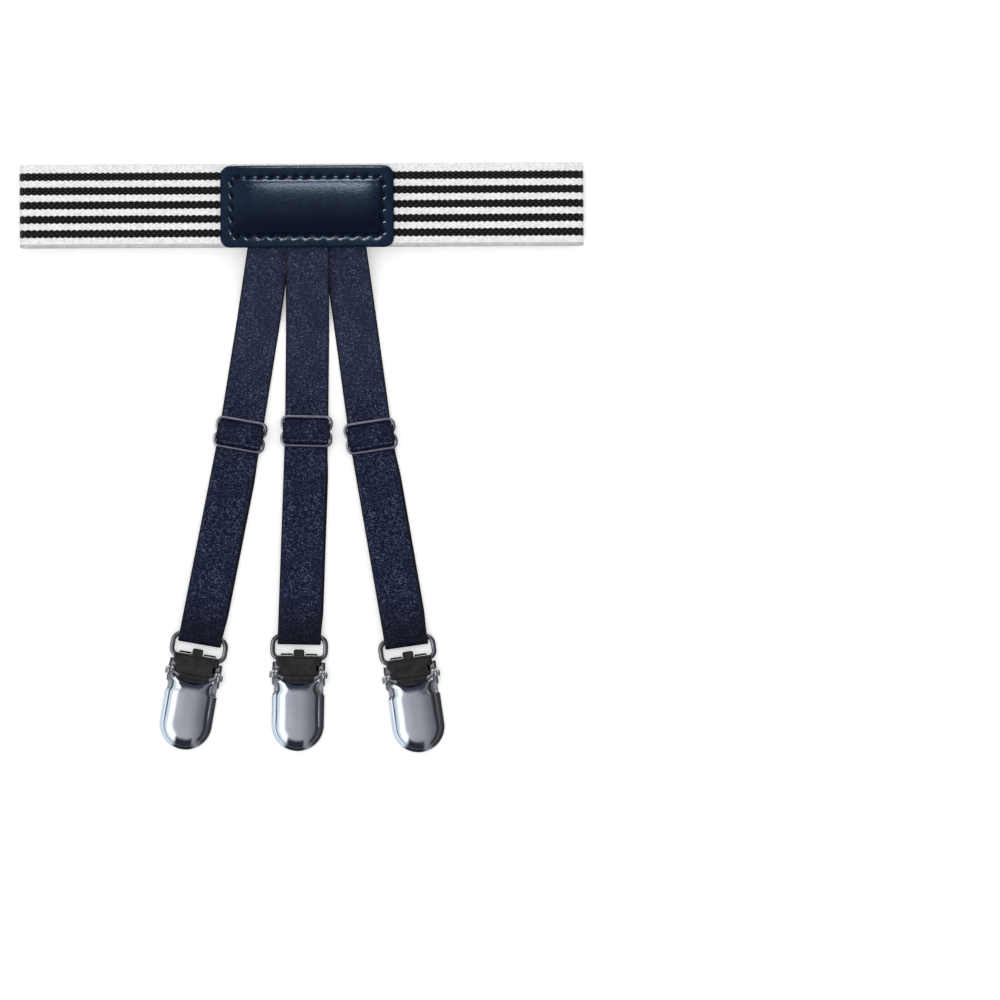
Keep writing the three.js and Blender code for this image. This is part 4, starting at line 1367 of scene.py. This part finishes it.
    def dome(self, distance: Array, inset: float, lipped: Array) -> tuple[Array, Array, Array]:
        """Half width, height and crown share of the dome's body, inside its face by inset,
        and drawn in and raised by its lip where lipped is 1."""
        inner = inset + self.lip_width * lipped
        tip_radius = self.lever_width / 2 - inner
        past = np.maximum(0, distance - (self.lever_tip - self.lever_width / 2)) / tip_radius
        neck_start = self.pin_distance + self.cheek_radius
        neck = self.cheek_outer - self.neck_pinch * smooth((distance - neck_start) / self.neck_run)
        shoulder = smooth((distance - self.shoulder_start) / self.shoulder_run)
        wide = neck + (self.lever_width / 2 - neck) * shoulder - inner
        run = (distance - self.crown_place) / (self.lever_tip - inner - self.crown_place)
        crowned = self.arched(np.clip(run, 0, 1))
        height = (self.lever_crown - self.rim_z - inset) * (1 - self.crown_drop * np.maximum(0, -run) ** 2)
        height = height - self.lip_rise(inset) * lipped
        return wide * np.sqrt(np.maximum(0, 1 - past**2)), height, crowned

    @staticmethod
    def arched(reach: Array) -> Array:
        """Height of a low arch, from 1 at its crown to 0 at its end, where it turns upright."""
        return (1 - reach**2.6) ** 0.75

    def lip_rise(self, inset: float) -> float:
        """How far above the rim the dome's body meets its lip."""
        return max(0.0, self.lip_height - 0.6 * inset)

    def lever_wall_points(self, share: Array, place: Array, inset: float) -> Array:
        """One face of the lever, as sections from rim to rim.

        Along, a section's distance grows from the smile-shaped rear edge to the tip by the
        sine of the share. Across, the body is a low arch on nearly upright walls, and the
        lip runs on from their foot to the rim. The rear edge curls down.

        Args:
            share: place of each section, from 0 at the rear to 1 at the tip.
            place: place across the body, from -1 at the left to 1 at the right.
            inset: how far inside the outer face.

        Returns:
            Points, sections x (lip, body, lip) x 3.
        """
        reach = np.abs(place)[None, :] / self.wall_place
        crown = np.sin(np.pi / 2 * np.minimum(1, reach))
        down = np.maximum(0, reach - 1) / (1 / self.wall_place - 1)
        across = np.sign(place)[None, :] * (crown * (1 - self.draft) + self.draft * down)
        grow = np.sin(share * np.pi / 2)[:, None]
        rear = self.smile_middle - self.smile_depth * across**2
        tip = self.lever_tip - inset
        distance = rear + (tip - self.lip_width - rear) * grow
        lipped = smooth((distance - self.shoulder_start) / self.shoulder_run)
        half, height, crowned = self.dome(distance, inset, lipped)
        rise = self.lip_rise(inset)
        x = half * across
        z = rise * lipped + height * ((1 - self.arch) * (1 - down) + self.arch * crowned * self.arched(crown))
        curl = np.maximum(0, 1 - (distance - rear) / self.curl_run) ** 2
        z = z - self.curl * curl * (1 - down)
        body = np.stack([x, -distance, self.rim_z + z], -1)
        edge = rear[:, :1] + (tip - rear[:, :1]) * grow
        edge_half, _, _ = self.dome(edge, inset, 0.0)
        t = np.linspace(0, 1, 10)[None, 1:, None]
        lips = []
        for side, start in ((-1, body[:, :1]), (1, body[:, -1:])):
            end = np.stack([side * edge_half, -edge, np.full_like(edge, self.rim_z)], -1)
            lip = start + (end - start) * t
            lip[..., 2] = self.rim_z + (start[..., 2] - self.rim_z) * (1 - t[..., 0] ** 1.15)
            lips.append(lip)
        return np.concatenate([lips[0][:, ::-1], body, lips[1]], 1)

    def lever_skins(self) -> list[Skin]:
        """The dome, thick as its wall, and its two cheeks."""
        share = np.concatenate([np.linspace(0, 0.9, 90), 1 - np.geomspace(0.1, 0.006, 24)[1:], [1]])
        place = np.linspace(-1, 1, 109)
        outer = self.lever_wall_points(share, place, 0)
        inner = self.lever_wall_points(share, place, self.lever_wall)
        section = np.concatenate([outer, inner[:, ::-1]], 1)
        skins = [Skin(section, wrapped(section[..., :2]), Ends.SEAM)]
        thickness = self.lever_wall
        for side in (-1, 1):
            skins.append(self.standing(self.cheek_outline(), side, self.cheek_outer - thickness, thickness))
        return skins

    def pin_skin(self, side: int) -> Skin:
        """A pin: shank from inside the cheek, and a domed head outside the ear."""
        shank, head = self.pin_diameter / 2, self.head_diameter / 2
        start = self.ear_spacing / 2 + self.gap
        turn = np.linspace(0, np.pi / 2, 8)
        tall = start + 0.3 + (self.head_length - 0.3) * np.sin(turn)
        crown = np.stack([0.05 + (head - 0.05) * np.cos(turn), tall], -1)
        inner = self.cheek_outer - self.lever_wall
        stem = [[0.05, inner], [shank - 0.1, inner], [shank, inner + 0.1], [shank, start], [head, start]]
        skin = spun(np.concatenate([stem, crown]))
        x, y, z = np.moveaxis(skin.points, -1, 0)
        return Skin(np.stack([side * x, y - self.pin_distance, z + self.pin_height], -1), skin.uv, skin.ends)

    def build(self, finishes: Finishes) -> None:
        """Makes the back plate, the spring plate, the lever and the pins."""
        name = self.stay.lay.name
        rows = [
            ("folded_back_plate", "", self.back_plate_skins(), finishes.plate, "clip", "back_plate", "plate_steel"),
            ("blackened_spring_plate", "", self.spring_skins(), finishes.spring, "clip", "spring_plate",
             "spring_steel"),
            ("domed_lever", "", self.lever_skins(), finishes.lever, "lever", "lever", "lever_polish"),
            ("headed_pin", "_a", [self.pin_skin(-1)], finishes.plate, "clip", "pivot_pin", "slider_wire"),
            ("headed_pin", "_b", [self.pin_skin(1)], finishes.plate, "clip", "pivot_pin", "slider_wire"),
        ]
        for title, end, skins, finish, body, node, slot in rows:
            piece = make_piece(f"{title}_{name}{end}", self.hung(skins), finish)
            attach(piece, f"{body}_{name}")
            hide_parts(f"{node}_{name}{end}")


@dataclass(frozen=True)
class Wall:
    """A wall that gloss sees: where it stands, and over what shares it sets in."""

    way: tuple[float, float]
    sideways: tuple[float, float]
    downwards: tuple[float, float]


BACK = Wall((0, 1), (0.2, 0.7), (0.03, 0.5))
RIGHT = Wall((1, -0.1), (0.5, 0.72), (0.76, 0.9))
FRONT = Wall((-0.27, -1), (0.86, 0.95), (0.56, 0.7))
LEFT = Wall((-0.97, -0.24), (0.66, 0.81), (0.48, 0.66))


@dataclass
class Studio:
    """Pale floor, soft light and the camera, looking straight down as the photograph."""

    height: float = 3.0
    centre: tuple[float, float] = (0.0709, -0.1064)
    turn: float = -0.29
    lens: float = 300
    sensor: float = 36
    reference: float = 0.004
    floor_reach: float = 4.0
    floor_glow: float = 0.27
    floor_gloss: Colour = (0.12, 0.125, 0.14, 1)
    even_light: Colour = (0.74, 0.745, 0.75, 1)
    seen_light: Colour = (0.96, 0.96, 0.965, 1)
    softbox_place: tuple[float, float, float] = (0.07, 0.345, 0.565)
    softbox_size: tuple[float, float] = (0.46, 0.26)
    softbox_power: float = 26.0
    softbox_tint: tuple[float, float, float] = (0.8, 0.92, 1.05)
    fill_place: tuple[float, float, float] = (-0.2, 0.1, 2.2)
    fill_size: tuple[float, float] = (1.6, 1.6)
    fill_power: float = 13.0

    def camera(self) -> None:
        """A long lens, high above the middle of the photograph."""
        data = bpy.data.cameras.new("camera")
        data.lens, data.sensor_width = self.lens, self.sensor
        data.clip_start, data.clip_end = 0.1, 30
        camera = bpy.data.objects.new("camera", data)
        camera.location = (*self.centre, self.height + self.reference)
        camera.rotation_euler = (0, 0, math.radians(self.turn))
        bpy.context.scene.collection.objects.link(camera)
        bpy.context.scene.camera = camera

    def floor(self) -> None:
        """A wide pale floor just under the part."""
        x, y = np.meshgrid([-self.floor_reach, self.floor_reach], [-self.floor_reach, self.floor_reach])
        corners = np.stack([x.ravel(), y.ravel(), np.full(4, -0.0001)], -1)
        mesh = bpy.data.meshes.new("floor")
        mesh.from_pydata(corners.tolist(), [], [(0, 1, 3, 2)])
        material, n, shader = new_material("pale_floor")
        haze = n.noise(n.object_mm(), 0.01, 2)
        pale = n.mix(n.between(haze, 0.3, 0.7), tone("#fbfbfb"), tone("#f8f8f8"))
        ray = n.node("ShaderNodeLightPath").outputs["Is Glossy Ray"]
        n.tree.links.new(n.mix(ray, pale, self.floor_gloss), shader.inputs["Base Color"])
        seen = n.node("ShaderNodeLightPath").outputs["Is Camera Ray"]
        n.tree.links.new(n.times(seen, self.floor_glow), shader.inputs["Emission Strength"])
        shader.inputs["Emission Color"].default_value = (1, 1, 1, 1)
        shader.inputs["Roughness"].default_value = 0.9
        shader.inputs["Specular IOR Level"].default_value = 0.1
        mesh.materials.append(material)
        floor = bpy.data.objects.new("floor", mesh)
        bpy.context.scene.collection.objects.link(floor)

    def world(self) -> None:
        """Even light for cloth, and for gloss a studio: a bright wall on the left, dark
        walls on the right and in front, a grey ceiling, and a dusky back."""
        world = bpy.data.worlds.new("studio")
        world.use_nodes = True
        bpy.context.scene.world = world
        n = Nodes(world.node_tree)
        ray = n.node("ShaderNodeLightPath").outputs
        way = n.node("ShaderNodeTexCoord").outputs["Generated"]
        x, y, _ = n.node("ShaderNodeSeparateXYZ", {0: way}).outputs
        flat = n.node("ShaderNodeCombineXYZ", {0: x, 1: y, 2: 0.0}).outputs[0]
        low = n.node("ShaderNodeVectorMath", {0: flat}, operation="LENGTH").outputs["Value"]
        unit = n.node("ShaderNodeVectorMath", {0: flat}, operation="NORMALIZE").outputs[0]

        def share(wall: Wall) -> Socket:
            """How much of that wall a direction meets."""
            way = n.node("ShaderNodeVectorMath", {0: unit, 1: (*wall.way, 0)}, operation="DOT_PRODUCT")
            met = n.between(way.outputs["Value"], *wall.sideways)
            return n.times(met, n.between(low, *wall.downwards))

        ceiling = n.mix(n.between(x, -0.55, 0.8), (0.47, 0.48, 0.51, 1), (0.15, 0.155, 0.18, 1))
        low_back = n.between(low, 0.7, 0.86)
        dusk = n.mix(low_back, (0.035, 0.045, 0.07, 1), (0.8, 0.785, 0.75, 1))
        window = n.mix(n.between(low, 0.84, 0.95), (1.2, 1.24, 1.28, 1), (0.66, 0.77, 0.86, 1))
        colour = n.mix(share(BACK), ceiling, dusk)
        colour = n.mix(share(RIGHT), colour, (0.035, 0.035, 0.04, 1))
        colour = n.mix(share(FRONT), colour, (0.02, 0.025, 0.035, 1))
        colour = n.mix(share(LEFT), colour, window)
        even = n.mix(ray["Is Glossy Ray"], self.even_light, colour)
        shown = n.mix(ray["Is Camera Ray"], even, self.seen_light)
        shader = world.node_tree.nodes["Background"]
        n.tree.links.new(shown, shader.inputs["Color"])

    def lamp(self, name: str, place: tuple, aim: tuple, size: tuple, power: float, glossy: bool) -> bpy.types.Object:
        """An area light that the camera doesn't see.

        Args:
            name: name of the light.
            place: where it stands.
            aim: the point that it faces.
            size: its width and height.
            power: watts.
            glossy: whether it is there for gloss alone, or for cloth and floor alone.

        Returns:
            The light.
        """
        data = bpy.data.lights.new(name, "AREA")
        data.shape, data.energy = "RECTANGLE", power
        data.size, data.size_y = size
        lamp = bpy.data.objects.new(name, data)
        lamp.location = place
        lamp.rotation_euler = (Vector(place) - Vector(aim)).to_track_quat("Z", "Y").to_euler()
        lamp.visible_camera = False
        lamp.visible_glossy, lamp.visible_diffuse = glossy, not glossy
        bpy.context.scene.collection.objects.link(lamp)
        return lamp

    def light_leather(self, leather: Piece) -> None:
        """A softbox behind the part that is flagged off everything but the leather."""
        lamp = self.lamp("patch_softbox", self.softbox_place, (0, 0, 0), self.softbox_size, self.softbox_power, True)
        lit = bpy.data.collections.new("lit_by_patch_softbox")
        lit.objects.link(leather)
        lamp.data.color = self.softbox_tint
        lamp.light_linking.receiver_collection = lit

    def build(self) -> None:
        """Sets up the camera, the floor and the light."""
        self.camera()
        self.floor()
        self.world()
        self.lamp("ceiling_fill", self.fill_place, (0, -0.1, 0), self.fill_size, self.fill_power, False)
        bpy.context.scene.view_settings.view_transform = "Standard"


def main() -> None:
    """Builds the studio and the part."""
    logging.basicConfig(level=logging.INFO, format="%(message)s")
    report = logging.getLogger("shirt_stay")
    studio = Studio()
    studio.build()
    report.info("studio built")
    finishes = Finishes()
    ThighBand().build(finishes)
    report.info("thigh band built")
    studio.light_leather(LeatherPatch().build(finishes)[0])
    report.info("leather patch built")
    for lay in LAYS:
        stay = Stay(lay)
        stay.build(finishes)
        Clip(stay).build(finishes)
        report.info("stay and clip built: %s", lay.name)


if __name__ == "__main__":
    main()
